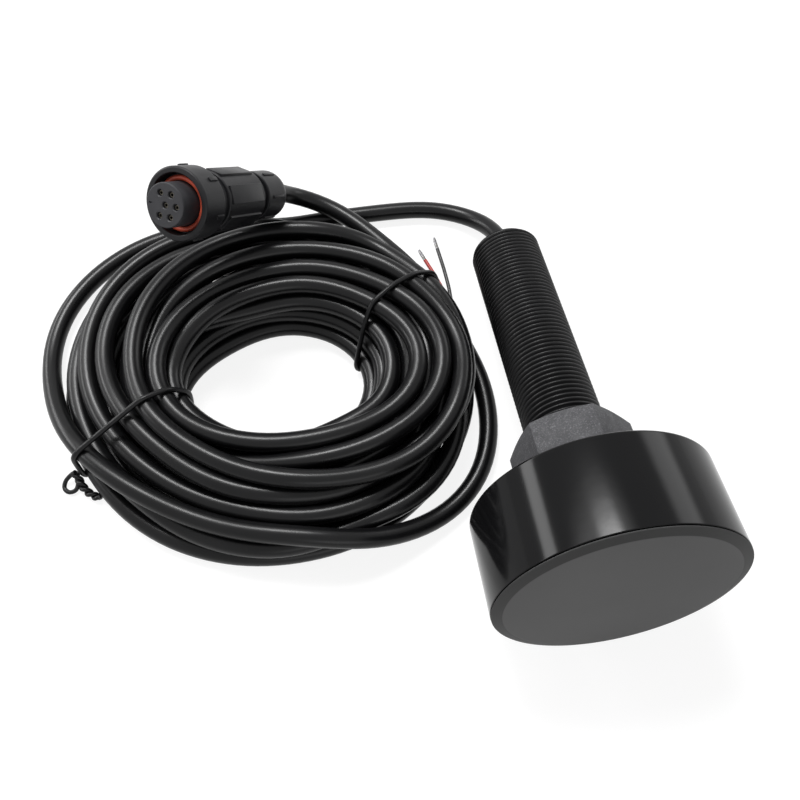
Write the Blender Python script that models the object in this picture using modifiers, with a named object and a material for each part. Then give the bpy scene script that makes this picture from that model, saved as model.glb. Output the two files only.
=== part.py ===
"""Fish finder transducer: a potted round head on a threaded stem with its hull nut,
lying on its side, and its cable coiled beside it with a screw collar connector on the end.

Metres, +Z up. The head's rear rim and the end of the stem rest on the plane z = 0, and the
stem points along +Y. The origin is under the middle of the transducer itself.
"""
import math

import bmesh
import bpy
from mathutils import Matrix, Vector

MM = 0.001
CLEARANCE = 0.3 * MM

# Head
HEAD_RADIUS = 37.5 * MM
HEAD_LENGTH = 31.0 * MM
HEAD_WALL = 3.0 * MM
HEAD_TOP = 4.0 * MM
HEAD_REAR_EDGE = 1.0 * MM
HEAD_RIM_EDGE = 0.25 * MM
RIM_BEHIND_FACE = 1.6 * MM

# Acoustic window that closes the head
WINDOW_INSET = 0.1 * MM
WINDOW_CHAMFER_WIDTH = 3.1 * MM
WINDOW_CHAMFER_DEPTH = 1.0 * MM
WINDOW_FLAT_RADIUS = HEAD_RADIUS - WINDOW_INSET - WINDOW_CHAMFER_WIDTH
WINDOW_DEPTH = 5.0 * MM

# What the head holds: the crystal in its cork, with resin between the cork and the cup
PIEZO_TO_HEAD = 2 / 3
PIEZO_RADIUS = HEAD_RADIUS * PIEZO_TO_HEAD
PIEZO_THICKNESS = 10.0 * MM
CORK_SLEEVE_WALL = 3.5 * MM
CORK_BACKING_THICKNESS = 3.0 * MM
CORK_BACKING_HOLE_RADIUS = 3.6 * MM
LEAD_RADIUS = 0.8 * MM
LEAD_OFFSET = 1.7 * MM

# Stem, a G 3/4 thread whose ridges are drawn wider apart than its pitch of 1.814 mm
STEM_RADIUS = 13.22 * MM
THREAD_DEPTH = 1.1 * MM
THREAD_RIDGE_SPACING = 4.7 * MM
THREAD_FROM_HEAD = 0.8 * MM
STEM_BORE_RADIUS = 8.0 * MM
STEM_END_CHAMFER = 1.2 * MM
STEM_FLANGE_RADIUS = 18.0 * MM
STEM_FLANGE_THICKNESS = 3.0 * MM
TRANSDUCER_LENGTH = 145.0 * MM
STEM_SEAL_LENGTH = 8.0 * MM
STEM_SEAL_RECESS = 0.8 * MM

# Hull nut and the washer under it
NUT_ACROSS_FLATS = 34.6 * MM
NUT_HEIGHT = 14.0 * MM
NUT_FROM_FACE = 41.0 * MM
NUT_CHAMFER_RADIUS = 16.7 * MM
NUT_CHAMFER_ANGLE = math.radians(34.0)
NUT_TURN = math.radians(-16.9)
WASHER_THICKNESS = 2.5 * MM
WASHER_RADIUS = 17.0 * MM

# Cable
CABLE_RADIUS = 3.4 * MM
CABLE_POINT_SPACING = 2.0 * 2 * CABLE_RADIUS
EXIT_STRAIGHT = 5.0 * MM
WIRE_RADIUS = 0.75 * MM
WIRE_TIP_RADIUS = 0.5 * MM
TIE_RADIUS = 0.75 * MM

# Coil: an oval ring whose hole sits a little off its middle
COIL_OUTER_MIDDLE = (-102.5 * MM, 34.5 * MM)
COIL_OUTER_HALF = (79.0 * MM, 67.0 * MM)
COIL_HOLE_MIDDLE = (-94.5 * MM, 31.5 * MM)
COIL_HOLE_HALF = (34.0 * MM, 26.0 * MM)
COIL_HEIGHT = 23.5 * MM
COIL_BOTTOM = 2 * TIE_RADIUS + 2 * CLEARANCE
COIL_TOP_SQUARENESS = 2.2
COIL_BOTTOM_SQUARENESS = 5.0
COIL_SECTION_POINTS = 12
COIL_ROUND_STEPS = 44
TIE_POINTS = 20
TIE_ANGLES = {"coil_tie_left": math.radians(200.0), "coil_tie_right": math.radians(16.0)}

# Connector, measured along its axis from the front face of the coupling ring
CONNECTOR_FRONT = Vector((-115.0, 71.5, 64.8)) * MM
CONNECTOR_AXIS = Vector((-0.474, -0.572, 0.669)).normalized()
RING_RADIUS = 12.0 * MM
RING_LENGTH = 10.4 * MM
RING_WALL = 2.1 * MM
RING_LIP_LENGTH = 2.2 * MM
INSERT_RADIUS = 7.15 * MM
INSERT_PROUD = 5.5 * MM
INSERT_SHOULDER_DEPTH = 4.2 * MM
INSERT_NECK_RADIUS = 8.3 * MM
INSERT_TAIL = 4.0 * MM
SEAL_RING_SECTION = 0.9 * MM
SOCKET_CIRCLE_RADIUS = 4.15 * MM
SOCKET_HOLE_RADIUS = 1.05 * MM
SOCKET_COUNT_ROUND = 6
CONTACT_RADIUS = 0.8 * MM
CONTACT_BORE_RADIUS = 0.5 * MM
CONTACT_RECESS = 0.8 * MM
CONTACT_LENGTH = 12.0 * MM
KEY_ANGLE = math.radians(193.0)
BODY_RADIUS = 10.0 * MM
BODY_GROOVE_RADIUS = 9.0 * MM
BODY_GROOVE_LENGTH = 5.7 * MM
BODY_LENGTH = 22.2 * MM
BODY_CAVITY_RADIUS = 6.6 * MM
BODY_THREAD_RADIUS = 7.6 * MM
BODY_THREAD_LENGTH = 11.0 * MM
GLAND_RADIUS = 8.9 * MM
GLAND_GAP = 4.7 * MM
GLAND_LENGTH = 16.7 * MM
GLAND_TAPER_LENGTH = 6.5 * MM
GLAND_END_RADIUS = 5.5 * MM
GLAND_SEAL_LENGTH = 7.0 * MM
CORE_RADIUS = 0.45 * MM
GRIP_COUNT = 6

ROUND_STEPS = 72
NUT_STEPS = 48
INSIDE_STEPS = 28
THREAD_STEPS = 26
CONNECTOR_STEPS = 32


def lying_angle():
    """Slope at which the head's rear rim and the end of the stem touch one plane."""
    along = TRANSDUCER_LENGTH - STEM_END_CHAMFER - (HEAD_LENGTH - HEAD_REAR_EDGE)
    drop = HEAD_RADIUS - HEAD_REAR_EDGE - STEM_RADIUS
    return math.atan2(drop, along) + math.asin(HEAD_REAR_EDGE / math.hypot(along, drop))


LYING = lying_angle()
STEM_AXIS = Vector((0.0, math.cos(LYING), -math.sin(LYING)))
FACE_HEIGHT = (
    (TRANSDUCER_LENGTH - STEM_END_CHAMFER) * math.sin(LYING) + STEM_RADIUS * math.cos(LYING)
)
FACE_FRONT = WINDOW_FLAT_RADIUS * math.sin(LYING)
STEM_REACH = (
    TRANSDUCER_LENGTH * math.cos(LYING) + (STEM_RADIUS - STEM_END_CHAMFER) * math.sin(LYING)
)
FACE_CENTRE = Vector((0.0, (FACE_FRONT - STEM_REACH) / 2, FACE_HEIGHT))
STEM_END = FACE_CENTRE + STEM_AXIS * TRANSDUCER_LENGTH

# Routes of the cord where it is not coiled, chosen by eye, in millimetres
CONNECTOR_REAR_LENGTH = (
    RING_LENGTH + CLEARANCE + BODY_GROOVE_LENGTH + BODY_LENGTH + GLAND_GAP + GLAND_LENGTH
)
STEM_LEAD_ROUTE = (
    (-2.6, 89.5, 8.0), (-8.6, 97.4, 5.2), (-18.0, 103.2, 3.9),
    (-29.0, 106.3, 3.5), (-41.0, 107.0, 3.5), (-53.0, 107.2, 3.5), (-66.0, 107.0, 3.5),
    (-78.0, 105.9, 3.5), (-88.0, 104.5, 3.5), (-98.0, 103.6, 3.5),
)
CONNECTOR_LEAD_ROUTE = (
    (-79.4, 112.9, 15.6), (-73.6, 112.8, 12.6), (-67.6, 110.0, 11.2),
    (-62.4, 106.6, 10.8), (-57.0, 102.2, 10.8), (-51.4, 96.4, 11.0), (-46.0, 90.4, 11.3),
    (-40.6, 83.6, 11.7), (-35.6, 76.6, 12.0), (-30.7, 70.0, 12.0),
)
LOOSE_TURN_ROUTE = (
    (-80.0, -31.8, 3.5), (-70.0, -31.6, 3.5), (-59.0, -29.8, 3.5), (-47.5, -26.6, 3.5),
    (-36.8, -21.8, 3.5), (-27.8, -15.5, 3.5), (-21.0, -7.6, 3.5), (-17.2, 1.0, 3.5),
    (-15.8, 10.0, 3.5), (-15.8, 19.0, 3.5), (-16.8, 28.0, 3.5), (-19.4, 37.5, 3.5),
    (-22.4, 46.0, 3.5),
)
WIRE_ROUTES = {
    "red_wire": ((-46.0, 53.5, 0.8), (-38.0, 56.2, 0.8), (-31.6, 59.8, 0.8), (-28.0, 65.0, 0.8),
                 (-28.0, 72.0, 0.8), (-29.6, 80.5, 0.8)),
    "black_wire": ((-44.0, 51.0, 0.8), (-35.5, 53.8, 0.8), (-28.4, 57.8, 0.8), (-24.5, 63.0, 0.8),
                   (-23.2, 70.5, 0.8), (-23.6, 79.0, 0.8), (-24.2, 85.0, 0.8)),
}
WIRE_TIP_LENGTH = 6.0 * MM


def clear_scene():
    for item in list(bpy.data.objects):
        bpy.data.objects.remove(item, do_unlink=True)


def make_collection(name):
    collection = bpy.data.collections.new(name)
    bpy.context.scene.collection.children.link(collection)
    return collection


clear_scene()
PARTS = make_collection("fish_finder_transducer")
CUTTERS = make_collection("construction_shapes")


def material(name, rgb, roughness, metallic=0.0):
    made = bpy.data.materials.new(name)
    made.use_nodes = True
    shader = made.node_tree.nodes["Principled BSDF"]
    shader.inputs["Base Color"].default_value = (*rgb, 1.0)
    shader.inputs["Roughness"].default_value = roughness
    shader.inputs["Metallic"].default_value = metallic
    made.diffuse_color = (*rgb, 1.0)
    return made


def frame_empty(name, place):
    empty = bpy.data.objects.new(name, None)
    empty.empty_display_size = 10 * MM
    empty.matrix_world = place
    PARTS.objects.link(empty)
    return empty


def add_object(name, mesh, parent=None, finish=None, collection=None):
    item = bpy.data.objects.new(name, mesh)
    (collection or PARTS).objects.link(item)
    if parent is not None:
        item.parent = parent
    if finish is not None:
        mesh.materials.append(finish)
    return item


def as_cutter(item):
    item.hide_render = True
    item.display_type = "WIRE"
    return item


def smooth_shading(mesh):
    mesh.shade_smooth()
    mesh.set_sharp_from_angle(angle=math.radians(35.0))


def turned(name, outline, steps, parent, finish, closed=True, collection=None):
    """A body of revolution about local Z. The outline runs down its outer side."""
    mesh = bpy.data.meshes.new(name)
    points = [(radius, 0.0, height) for radius, height in outline]
    edges = [(i, i + 1) for i in range(len(points) - 1)]
    if closed:
        edges.append((len(points) - 1, 0))
    mesh.from_pydata(points, edges, [])
    item = add_object(name, mesh, parent, finish, collection)
    screw = item.modifiers.new("turn", "SCREW")
    screw.axis = "Z"
    screw.angle = math.tau
    screw.steps = steps
    screw.render_steps = steps
    screw.use_merge_vertices = True
    screw.merge_threshold = 0.01 * MM
    screw.use_smooth_shade = True
    return item


def disc(name, radius, low, high, steps, parent, finish):
    outline = ((0.0, high), (radius, high), (radius, low), (0.0, low))
    return turned(name, outline, steps, parent, finish, closed=False)


def ring(name, inner, outer, low, high, steps, parent, finish):
    outline = ((inner, high), (outer, high), (outer, low), (inner, low))
    return turned(name, outline, steps, parent, finish)


def arc(middle_radius, middle_height, size, start, end, steps):
    """Points of a round edge in the outline's plane, from one angle to another."""
    points = []
    for i in range(steps + 1):
        angle = math.radians(start + (end - start) * i / steps)
        points.append(
            (middle_radius + size * math.cos(angle), middle_height + size * math.sin(angle))
        )
    return points


def boolean(item, operation, other):
    modifier = item.modifiers.new(operation.lower(), "BOOLEAN")
    modifier.operation = operation
    modifier.solver = "EXACT"
    modifier.object = other
    return modifier


def cylinders(name, places, radius, low, high, sides, parent):
    """One cutter that holds a cylinder along local Z at each place."""
    built = bmesh.new()
    for x, y in places:
        shift = Matrix.Translation((x, y, (low + high) / 2))
        bmesh.ops.create_cone(
            built, cap_ends=True, segments=sides, radius1=radius, radius2=radius,
            depth=high - low, matrix=shift,
        )
    mesh = bpy.data.meshes.new(name)
    built.to_mesh(mesh)
    built.free()
    return as_cutter(add_object(name, mesh, parent, None, CUTTERS))


def grip_blocks(name, radius, rise, width, low, high, parent, turn):
    """Low blocks spaced round a collar, joined to it to give fingers a grip."""
    built = bmesh.new()
    depth = 1.2 * MM
    for i in range(GRIP_COUNT):
        angle = turn + math.tau * i / GRIP_COUNT
        size = Matrix.Diagonal((depth + rise, width, high - low, 1.0))
        shift = Matrix.Translation((radius + (rise - depth) / 2, 0.0, (low + high) / 2))
        bmesh.ops.create_cube(built, size=1.0, matrix=Matrix.Rotation(angle, 4, "Z") @ shift @ size)
    mesh = bpy.data.meshes.new(name)
    built.to_mesh(mesh)
    built.free()
    return as_cutter(add_object(name, mesh, parent, None, CUTTERS))


def smooth_route(points, spacing):
    """Evenly spaced points on a smooth curve through the route's own points."""
    ends = [points[0] * 2 - points[1], *points, points[-1] * 2 - points[-2]]
    fine = []
    for i in range(1, len(ends) - 2):
        p0, p1, p2, p3 = ends[i - 1:i + 3]
        for k in range(16):
            t = k / 16
            fine.append(
                0.5 * (2 * p1 + (p2 - p0) * t + (2 * p0 - 5 * p1 + 4 * p2 - p3) * t ** 2
                       + (3 * p1 - p0 - 3 * p2 + p3) * t ** 3)
            )
    fine.append(points[-1])
    lengths = [0.0]
    for i in range(1, len(fine)):
        lengths.append(lengths[-1] + (fine[i] - fine[i - 1]).length)
    count = max(2, round(lengths[-1] / spacing))
    even = []
    j = 0
    for i in range(count + 1):
        target = lengths[-1] * i / count
        while j < len(lengths) - 2 and lengths[j + 1] < target:
            j += 1
        span = lengths[j + 1] - lengths[j]
        even.append(fine[j].lerp(fine[j + 1], (target - lengths[j]) / span))
    return even


def tube(name, points, radius, finish, parent=None, resolution=2, cyclic=False):
    curve = bpy.data.curves.new(name, "CURVE")
    curve.dimensions = "3D"
    curve.bevel_depth = radius
    curve.bevel_resolution = resolution
    curve.use_fill_caps = not cyclic
    spline = curve.splines.new("POLY")
    spline.points.add(len(points) - 1)
    for spot, point in zip(spline.points, points):
        spot.co = (*point, 1.0)
    spline.use_cyclic_u = cyclic
    curve.materials.append(finish)
    item = bpy.data.objects.new(name, curve)
    PARTS.objects.link(item)
    if parent is not None:
        item.parent = parent
    return item


def build_head(axis):
    """The moulded cup, its acoustic window and the crystal stack potted inside."""
    gloss = material("gloss black ABS", (0.012, 0.012, 0.013), 0.12)
    grey = material("grey polyurethane", (0.105, 0.105, 0.105), 0.5)
    bore = STEM_RADIUS + CLEARANCE
    inner = HEAD_RADIUS - HEAD_WALL
    inside_top = HEAD_LENGTH - HEAD_TOP
    outline = [(bore, HEAD_LENGTH)]
    outline += arc(HEAD_RADIUS - HEAD_REAR_EDGE, HEAD_LENGTH - HEAD_REAR_EDGE,
                   HEAD_REAR_EDGE, 90, 0, 3)
    outline += arc(HEAD_RADIUS - HEAD_RIM_EDGE, RIM_BEHIND_FACE + HEAD_RIM_EDGE,
                   HEAD_RIM_EDGE, 0, -90, 1)
    outline += [(inner, RIM_BEHIND_FACE), (inner, inside_top), (bore, inside_top)]
    turned("housing", outline, ROUND_STEPS, axis, gloss)

    spigot = inner - CLEARANCE
    edge = HEAD_RADIUS - WINDOW_INSET
    window = ((0.0, WINDOW_DEPTH), (spigot, WINDOW_DEPTH),
              (spigot, RIM_BEHIND_FACE - CLEARANCE), (edge, RIM_BEHIND_FACE - CLEARANCE),
              (edge, WINDOW_CHAMFER_DEPTH), (WINDOW_FLAT_RADIUS, 0.0), (0.0, 0.0))
    turned("acoustic_window", window, ROUND_STEPS, axis, grey, closed=False)

    ceramic = material("fired ceramic", (0.62, 0.58, 0.5), 0.4)
    cork = material("pressed cork", (0.42, 0.25, 0.12), 0.9)
    resin = material("black epoxy resin", (0.02, 0.02, 0.02), 0.35)
    crystal_low = WINDOW_DEPTH + CLEARANCE
    crystal_high = crystal_low + PIEZO_THICKNESS
    disc("piezo_disc", PIEZO_RADIUS, crystal_low, crystal_high, INSIDE_STEPS, axis, ceramic)
    backing_low = crystal_high + CLEARANCE
    backing_high = backing_low + CORK_BACKING_THICKNESS
    ring("cork_backing", CORK_BACKING_HOLE_RADIUS, PIEZO_RADIUS, backing_low, backing_high,
         INSIDE_STEPS, axis, cork)
    sleeve_inner = PIEZO_RADIUS + CLEARANCE
    sleeve_outer = sleeve_inner + CORK_SLEEVE_WALL
    ring("cork_sleeve", sleeve_inner, sleeve_outer, crystal_low, backing_high, INSIDE_STEPS,
         axis, cork)
    flange_top = inside_top - CLEARANCE
    flange_low = flange_top - STEM_FLANGE_THICKNESS
    cable_hole = CABLE_RADIUS + CLEARANCE
    potting = (
        (STEM_FLANGE_RADIUS + CLEARANCE, flange_top), (spigot, flange_top),
        (spigot, crystal_low), (sleeve_outer + CLEARANCE, crystal_low),
        (sleeve_outer + CLEARANCE, backing_high + CLEARANCE),
        (cable_hole, backing_high + CLEARANCE), (cable_hole, flange_low - CLEARANCE),
        (STEM_FLANGE_RADIUS + CLEARANCE, flange_low - CLEARANCE),
    )
    turned("potting_resin", potting, INSIDE_STEPS, axis, resin)

    cable_low = backing_high + 2 * CLEARANCE
    lead_high = cable_low - CLEARANCE
    copper = material("insulated signal lead", (0.5, 0.5, 0.5), 0.5)
    for name, side in (("signal_lead", 1), ("return_lead", -1)):
        x = side * LEAD_OFFSET
        ends = [Vector((x, 0.0, backing_low)), Vector((x, 0.0, lead_high))]
        tube(name, ends, LEAD_RADIUS, copper, axis)
    jacket = material("black cable jacket", (0.01, 0.01, 0.011), 0.35)
    disc("stem_cable_run", CABLE_RADIUS, cable_low, TRANSDUCER_LENGTH, 16, axis, jacket)


def thread_ridges():
    """Crests and roots down the stem, from its end to just above the head."""
    high = TRANSDUCER_LENGTH - STEM_END_CHAMFER
    low = HEAD_LENGTH + THREAD_FROM_HEAD
    count = round((high - low) / THREAD_RIDGE_SPACING)
    half = (high - low) / count / 2
    points = [(STEM_RADIUS, high)]
    for i in range(count):
        points.append((STEM_RADIUS - THREAD_DEPTH, high - (2 * i + 1) * half))
        points.append((STEM_RADIUS, high - (2 * i + 2) * half))
    return points


def build_stem(axis):
    """The threaded tube, its flange inside the head and the seal in its end."""
    satin = material("satin black nylon", (0.014, 0.014, 0.015), 0.4)
    rubber = material("black rubber seal", (0.02, 0.02, 0.02), 0.7)
    flange_top = HEAD_LENGTH - HEAD_TOP - CLEARANCE
    flange_low = flange_top - STEM_FLANGE_THICKNESS
    outline = (
        (STEM_BORE_RADIUS, TRANSDUCER_LENGTH),
        (STEM_RADIUS - STEM_END_CHAMFER, TRANSDUCER_LENGTH), *thread_ridges(),
        (STEM_RADIUS, flange_top), (STEM_FLANGE_RADIUS, flange_top),
        (STEM_FLANGE_RADIUS, flange_low), (STEM_BORE_RADIUS, flange_low),
    )
    turned("threaded_stem", outline, THREAD_STEPS, axis, satin)
    seal_high = TRANSDUCER_LENGTH - STEM_SEAL_RECESS
    ring("stem_seal", CABLE_RADIUS + CLEARANCE, STEM_BORE_RADIUS - CLEARANCE,
         seal_high - STEM_SEAL_LENGTH, seal_high, 24, axis, rubber)


def build_hull_nut(axis):
    """The hexagon nut, chamfered at both ends, and the washer that travels under it."""
    nylon = material("glass filled nylon", (0.06, 0.06, 0.062), 0.75)
    rubber = material("rubber washer", (0.015, 0.015, 0.015), 0.8)
    middle = NUT_FROM_FACE + NUT_HEIGHT / 2
    corner = NUT_ACROSS_FLATS / math.sqrt(3)
    built = bmesh.new()
    place = Matrix.Translation((0.0, 0.0, middle)) @ Matrix.Rotation(NUT_TURN, 4, "Z")
    bmesh.ops.create_cone(
        built, cap_ends=True, segments=6, radius1=corner, radius2=corner,
        depth=NUT_HEIGHT, matrix=place,
    )
    mesh = bpy.data.meshes.new("hull_nut")
    built.to_mesh(mesh)
    built.free()
    nut = add_object("hull_nut", mesh, axis, nylon)

    reach = corner + 2 * MM
    low = NUT_FROM_FACE
    high = NUT_FROM_FACE + NUT_HEIGHT
    rise = (reach - NUT_CHAMFER_RADIUS) * math.tan(NUT_CHAMFER_ANGLE)
    bore = STEM_RADIUS + CLEARANCE
    countersink = 0.8 * MM
    blank = (
        (bore + countersink, high), (NUT_CHAMFER_RADIUS, high), (reach, high - rise),
        (reach, low + rise), (NUT_CHAMFER_RADIUS, low), (bore + countersink, low),
        (bore, low + countersink), (bore, high - countersink),
    )
    shape = as_cutter(
        turned("nut_blank", blank, NUT_STEPS, axis, None, collection=CUTTERS)
    )
    boolean(nut, "INTERSECT", shape)
    washer_high = NUT_FROM_FACE - CLEARANCE
    ring("sealing_washer", bore, WASHER_RADIUS, washer_high - WASHER_THICKNESS, washer_high,
         NUT_STEPS, axis, rubber)


def socket_places():
    """The middle contact, then the round of six without the one that the key replaces."""
    places = [(0.0, 0.0)]
    for i in range(1, SOCKET_COUNT_ROUND):
        angle = KEY_ANGLE + math.tau * i / SOCKET_COUNT_ROUND
        places.append(
            (SOCKET_CIRCLE_RADIUS * math.cos(angle), SOCKET_CIRCLE_RADIUS * math.sin(angle))
        )
    return places


def build_connector(axis):
    """The screw collar, the insert with its contacts, the body and the cable gland."""
    shell = material("matt black connector shell", (0.022, 0.022, 0.024), 0.5)
    orange = material("orange silicone seal", (0.55, 0.1, 0.05), 0.5)
    moulding = material("matt black insert", (0.018, 0.018, 0.019), 0.55)
    rubber = material("gland rubber", (0.02, 0.02, 0.02), 0.7)
    brass = material("plated brass contact", (0.75, 0.6, 0.3), 0.3, 1.0)
    jacket = material("connector cable jacket", (0.01, 0.01, 0.011), 0.35)

    ring_rear = -RING_LENGTH
    ring_bore = RING_RADIUS - RING_WALL
    lip = ring_rear + RING_LIP_LENGTH
    lip_bore = INSERT_NECK_RADIUS - 0.3 * MM
    chamfer = 0.6 * MM
    collar = (
        (ring_bore, 0.0), (RING_RADIUS - chamfer, 0.0), (RING_RADIUS, -chamfer),
        (RING_RADIUS, ring_rear), (lip_bore, ring_rear), (lip_bore, lip), (ring_bore, lip),
    )
    coupling = turned("coupling_ring", collar, CONNECTOR_STEPS, axis, shell)
    boolean(coupling, "UNION", grip_blocks(
        "ring_grips", RING_RADIUS, 0.5 * MM, 3.0 * MM, ring_rear + 0.6 * MM,
        ring_rear + 5.4 * MM, axis, math.radians(15.0)))

    face = INSERT_PROUD
    shoulder = -INSERT_SHOULDER_DEPTH
    shoulder_radius = ring_bore - CLEARANCE
    neck = lip_bore - CLEARANCE
    insert_rear = ring_rear - INSERT_TAIL
    outline = (
        (0.0, face), (INSERT_RADIUS - 0.3 * MM, face), (INSERT_RADIUS, face - 0.3 * MM),
        (INSERT_RADIUS, shoulder), (shoulder_radius, shoulder),
        (shoulder_radius, lip + CLEARANCE), (neck, lip + CLEARANCE), (neck, insert_rear),
        (0.0, insert_rear),
    )
    insert = turned("connector_insert", outline, CONNECTOR_STEPS, axis, moulding, closed=False)
    boolean(insert, "DIFFERENCE", cylinders(
        "socket_holes", socket_places(), SOCKET_HOLE_RADIUS, insert_rear - MM, face + MM, 12,
        axis))

    seal_radius = INSERT_RADIUS + SEAL_RING_SECTION + 0.2 * MM
    seal_height = shoulder + SEAL_RING_SECTION + 0.1 * MM
    turned("seal_ring", arc(seal_radius, seal_height, SEAL_RING_SECTION, 90, -225, 7),
           CONNECTOR_STEPS, axis, orange)

    contact_high = face - CONTACT_RECESS
    contact_low = contact_high - CONTACT_LENGTH
    for i, (x, y) in enumerate(socket_places()):
        holder = frame_empty(f"contact_axis_{i + 1}", Matrix.Translation((x, y, 0.0)))
        holder.parent = axis
        ring(f"socket_contact_{i + 1}", CONTACT_BORE_RADIUS, CONTACT_RADIUS, contact_low,
             contact_high, 10, holder, brass)

    body_front = ring_rear - CLEARANCE
    groove_end = body_front - BODY_GROOVE_LENGTH
    body_rear = groove_end - BODY_LENGTH
    thread_rear = body_rear - BODY_THREAD_LENGTH
    socket = neck + CLEARANCE
    socket_rear = insert_rear - CLEARANCE
    barrel = (
        (socket, body_front), (BODY_GROOVE_RADIUS, body_front), (BODY_GROOVE_RADIUS, groove_end),
        (BODY_RADIUS - 0.4 * MM, groove_end), (BODY_RADIUS, groove_end - 0.4 * MM),
        (BODY_RADIUS, body_rear + 0.4 * MM), (BODY_RADIUS - 0.4 * MM, body_rear),
        (BODY_THREAD_RADIUS, body_rear), (BODY_THREAD_RADIUS, thread_rear),
        (BODY_CAVITY_RADIUS, thread_rear), (BODY_CAVITY_RADIUS, socket_rear),
        (socket, socket_rear),
    )
    body = turned("connector_body", barrel, CONNECTOR_STEPS, axis, shell)
    boolean(body, "UNION", grip_blocks(
        "body_panels", BODY_RADIUS, 0.35 * MM, 4.4 * MM, body_rear + 2.0 * MM,
        groove_end - 1.6 * MM, axis, math.radians(45.0)))

    gland_front = body_rear - GLAND_GAP
    gland_rear = gland_front - GLAND_LENGTH
    gland_bore = BODY_THREAD_RADIUS + CLEARANCE
    thread_stop = thread_rear - CLEARANCE
    cable_bore = CABLE_RADIUS + CLEARANCE
    cap = (
        (gland_bore, gland_front), (GLAND_RADIUS, gland_front),
        (GLAND_RADIUS, gland_rear + GLAND_TAPER_LENGTH),
        (GLAND_RADIUS - 0.9 * MM, gland_rear + 0.5 * GLAND_TAPER_LENGTH),
        (GLAND_END_RADIUS, gland_rear), (cable_bore, gland_rear),
        (cable_bore, thread_stop), (gland_bore, thread_stop),
    )
    gland = turned("gland_nut", cap, CONNECTOR_STEPS, axis, shell)
    boolean(gland, "UNION", grip_blocks(
        "gland_grips", GLAND_RADIUS, 0.45 * MM, 2.6 * MM, gland_rear + GLAND_TAPER_LENGTH,
        gland_front - 2.6 * MM, axis, math.radians(20.0)))

    ring("gland_seal", cable_bore, BODY_CAVITY_RADIUS - CLEARANCE,
         thread_rear, thread_rear + GLAND_SEAL_LENGTH, 20, axis, rubber)
    run_high = thread_rear + GLAND_SEAL_LENGTH + 4 * MM
    disc("connector_cable_run", CABLE_RADIUS, gland_rear, run_high, 16, axis, jacket)
    build_cores(axis, contact_low - CLEARANCE, insert_rear - CLEARANCE, run_high + CLEARANCE)


def build_cores(axis, high, straight_until, low):
    """The cores, from the contacts' rear ends to the end of the cable's jacket."""
    colour = material("cable core insulation", (0.35, 0.05, 0.04), 0.5)
    for i, (x, y) in enumerate(socket_places()):
        points = [Vector((x, y, high)), Vector((x, y, straight_until)),
                  Vector((x / 2, y / 2, low))]
        tube(f"cable_core_{i + 1}", points, CORE_RADIUS, colour, axis, resolution=1)


def coil_section(angle, spread):
    """Where the coil's section stands at an angle round it, grown by spread on all sides.

    Returns the section's middle, the unit vector out along it, and its two half sizes.
    """
    outward = Vector((math.cos(angle), math.sin(angle), 0.0))
    edges = []
    for middle, half in ((COIL_HOLE_MIDDLE, COIL_HOLE_HALF), (COIL_OUTER_MIDDLE, COIL_OUTER_HALF)):
        edges.append(Vector((middle[0] + half[0] * outward.x, middle[1] + half[1] * outward.y, 0)))
    across = edges[1] - edges[0]
    middle = (edges[0] + edges[1]) / 2
    middle.z = COIL_BOTTOM + COIL_HEIGHT / 2
    return middle, across.normalized(), across.length / 2 + spread, COIL_HEIGHT / 2 + spread


def section_loop(angle, spread, count):
    """Points round the coil's section, rounded on top and flatter underneath."""
    middle, across, half_width, half_height = coil_section(angle, spread)
    loop = []
    for i in range(count):
        turn = math.tau * (i + 0.5) / count
        power = 2 / (COIL_TOP_SQUARENESS if math.sin(turn) > 0 else COIL_BOTTOM_SQUARENESS)
        wide = math.copysign(abs(math.cos(turn)) ** power, math.cos(turn))
        tall = math.copysign(abs(math.sin(turn)) ** power, math.sin(turn))
        loop.append(middle + across * half_width * wide + Vector((0, 0, half_height * tall)))
    return loop


def build_coil():
    """The coil's outer shape, its loose outer turn and its two ties."""
    jacket = material("black cable coil", (0.01, 0.01, 0.011), 0.35)
    built = bmesh.new()
    rows = []
    for k in range(COIL_ROUND_STEPS):
        loop = section_loop(math.tau * k / COIL_ROUND_STEPS, 0.0, COIL_SECTION_POINTS)
        rows.append([built.verts.new(point) for point in loop])
    for k in range(COIL_ROUND_STEPS):
        row = rows[k]
        after = rows[(k + 1) % COIL_ROUND_STEPS]
        for i in range(COIL_SECTION_POINTS):
            j = (i + 1) % COIL_SECTION_POINTS
            built.faces.new((row[i], row[j], after[j], after[i]))
    bmesh.ops.recalc_face_normals(built, faces=built.faces)
    mesh = bpy.data.meshes.new("cable_coil")
    built.to_mesh(mesh)
    built.free()
    smooth_shading(mesh)
    add_object("cable_coil", mesh, None, jacket)

    for name, angle in TIE_ANGLES.items():
        tie = material(name.replace("_", " "), (0.01, 0.01, 0.01), 0.6)
        loop = section_loop(angle, TIE_RADIUS + CLEARANCE, TIE_POINTS)
        tube(name, loop, TIE_RADIUS, tie, cyclic=True)


def route(points_mm):
    return [Vector(point) * MM for point in points_mm]


def lead_route(points_mm, exit_point, exit_direction):
    """A smooth cord that leaves a part squarely, in a short straight stretch."""
    start = exit_point + exit_direction * CLEARANCE
    straight = start + exit_direction * EXIT_STRAIGHT
    points = smooth_route([start, straight, *route(points_mm)], CABLE_POINT_SPACING)
    return [start, straight, *points[1:]]


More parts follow.
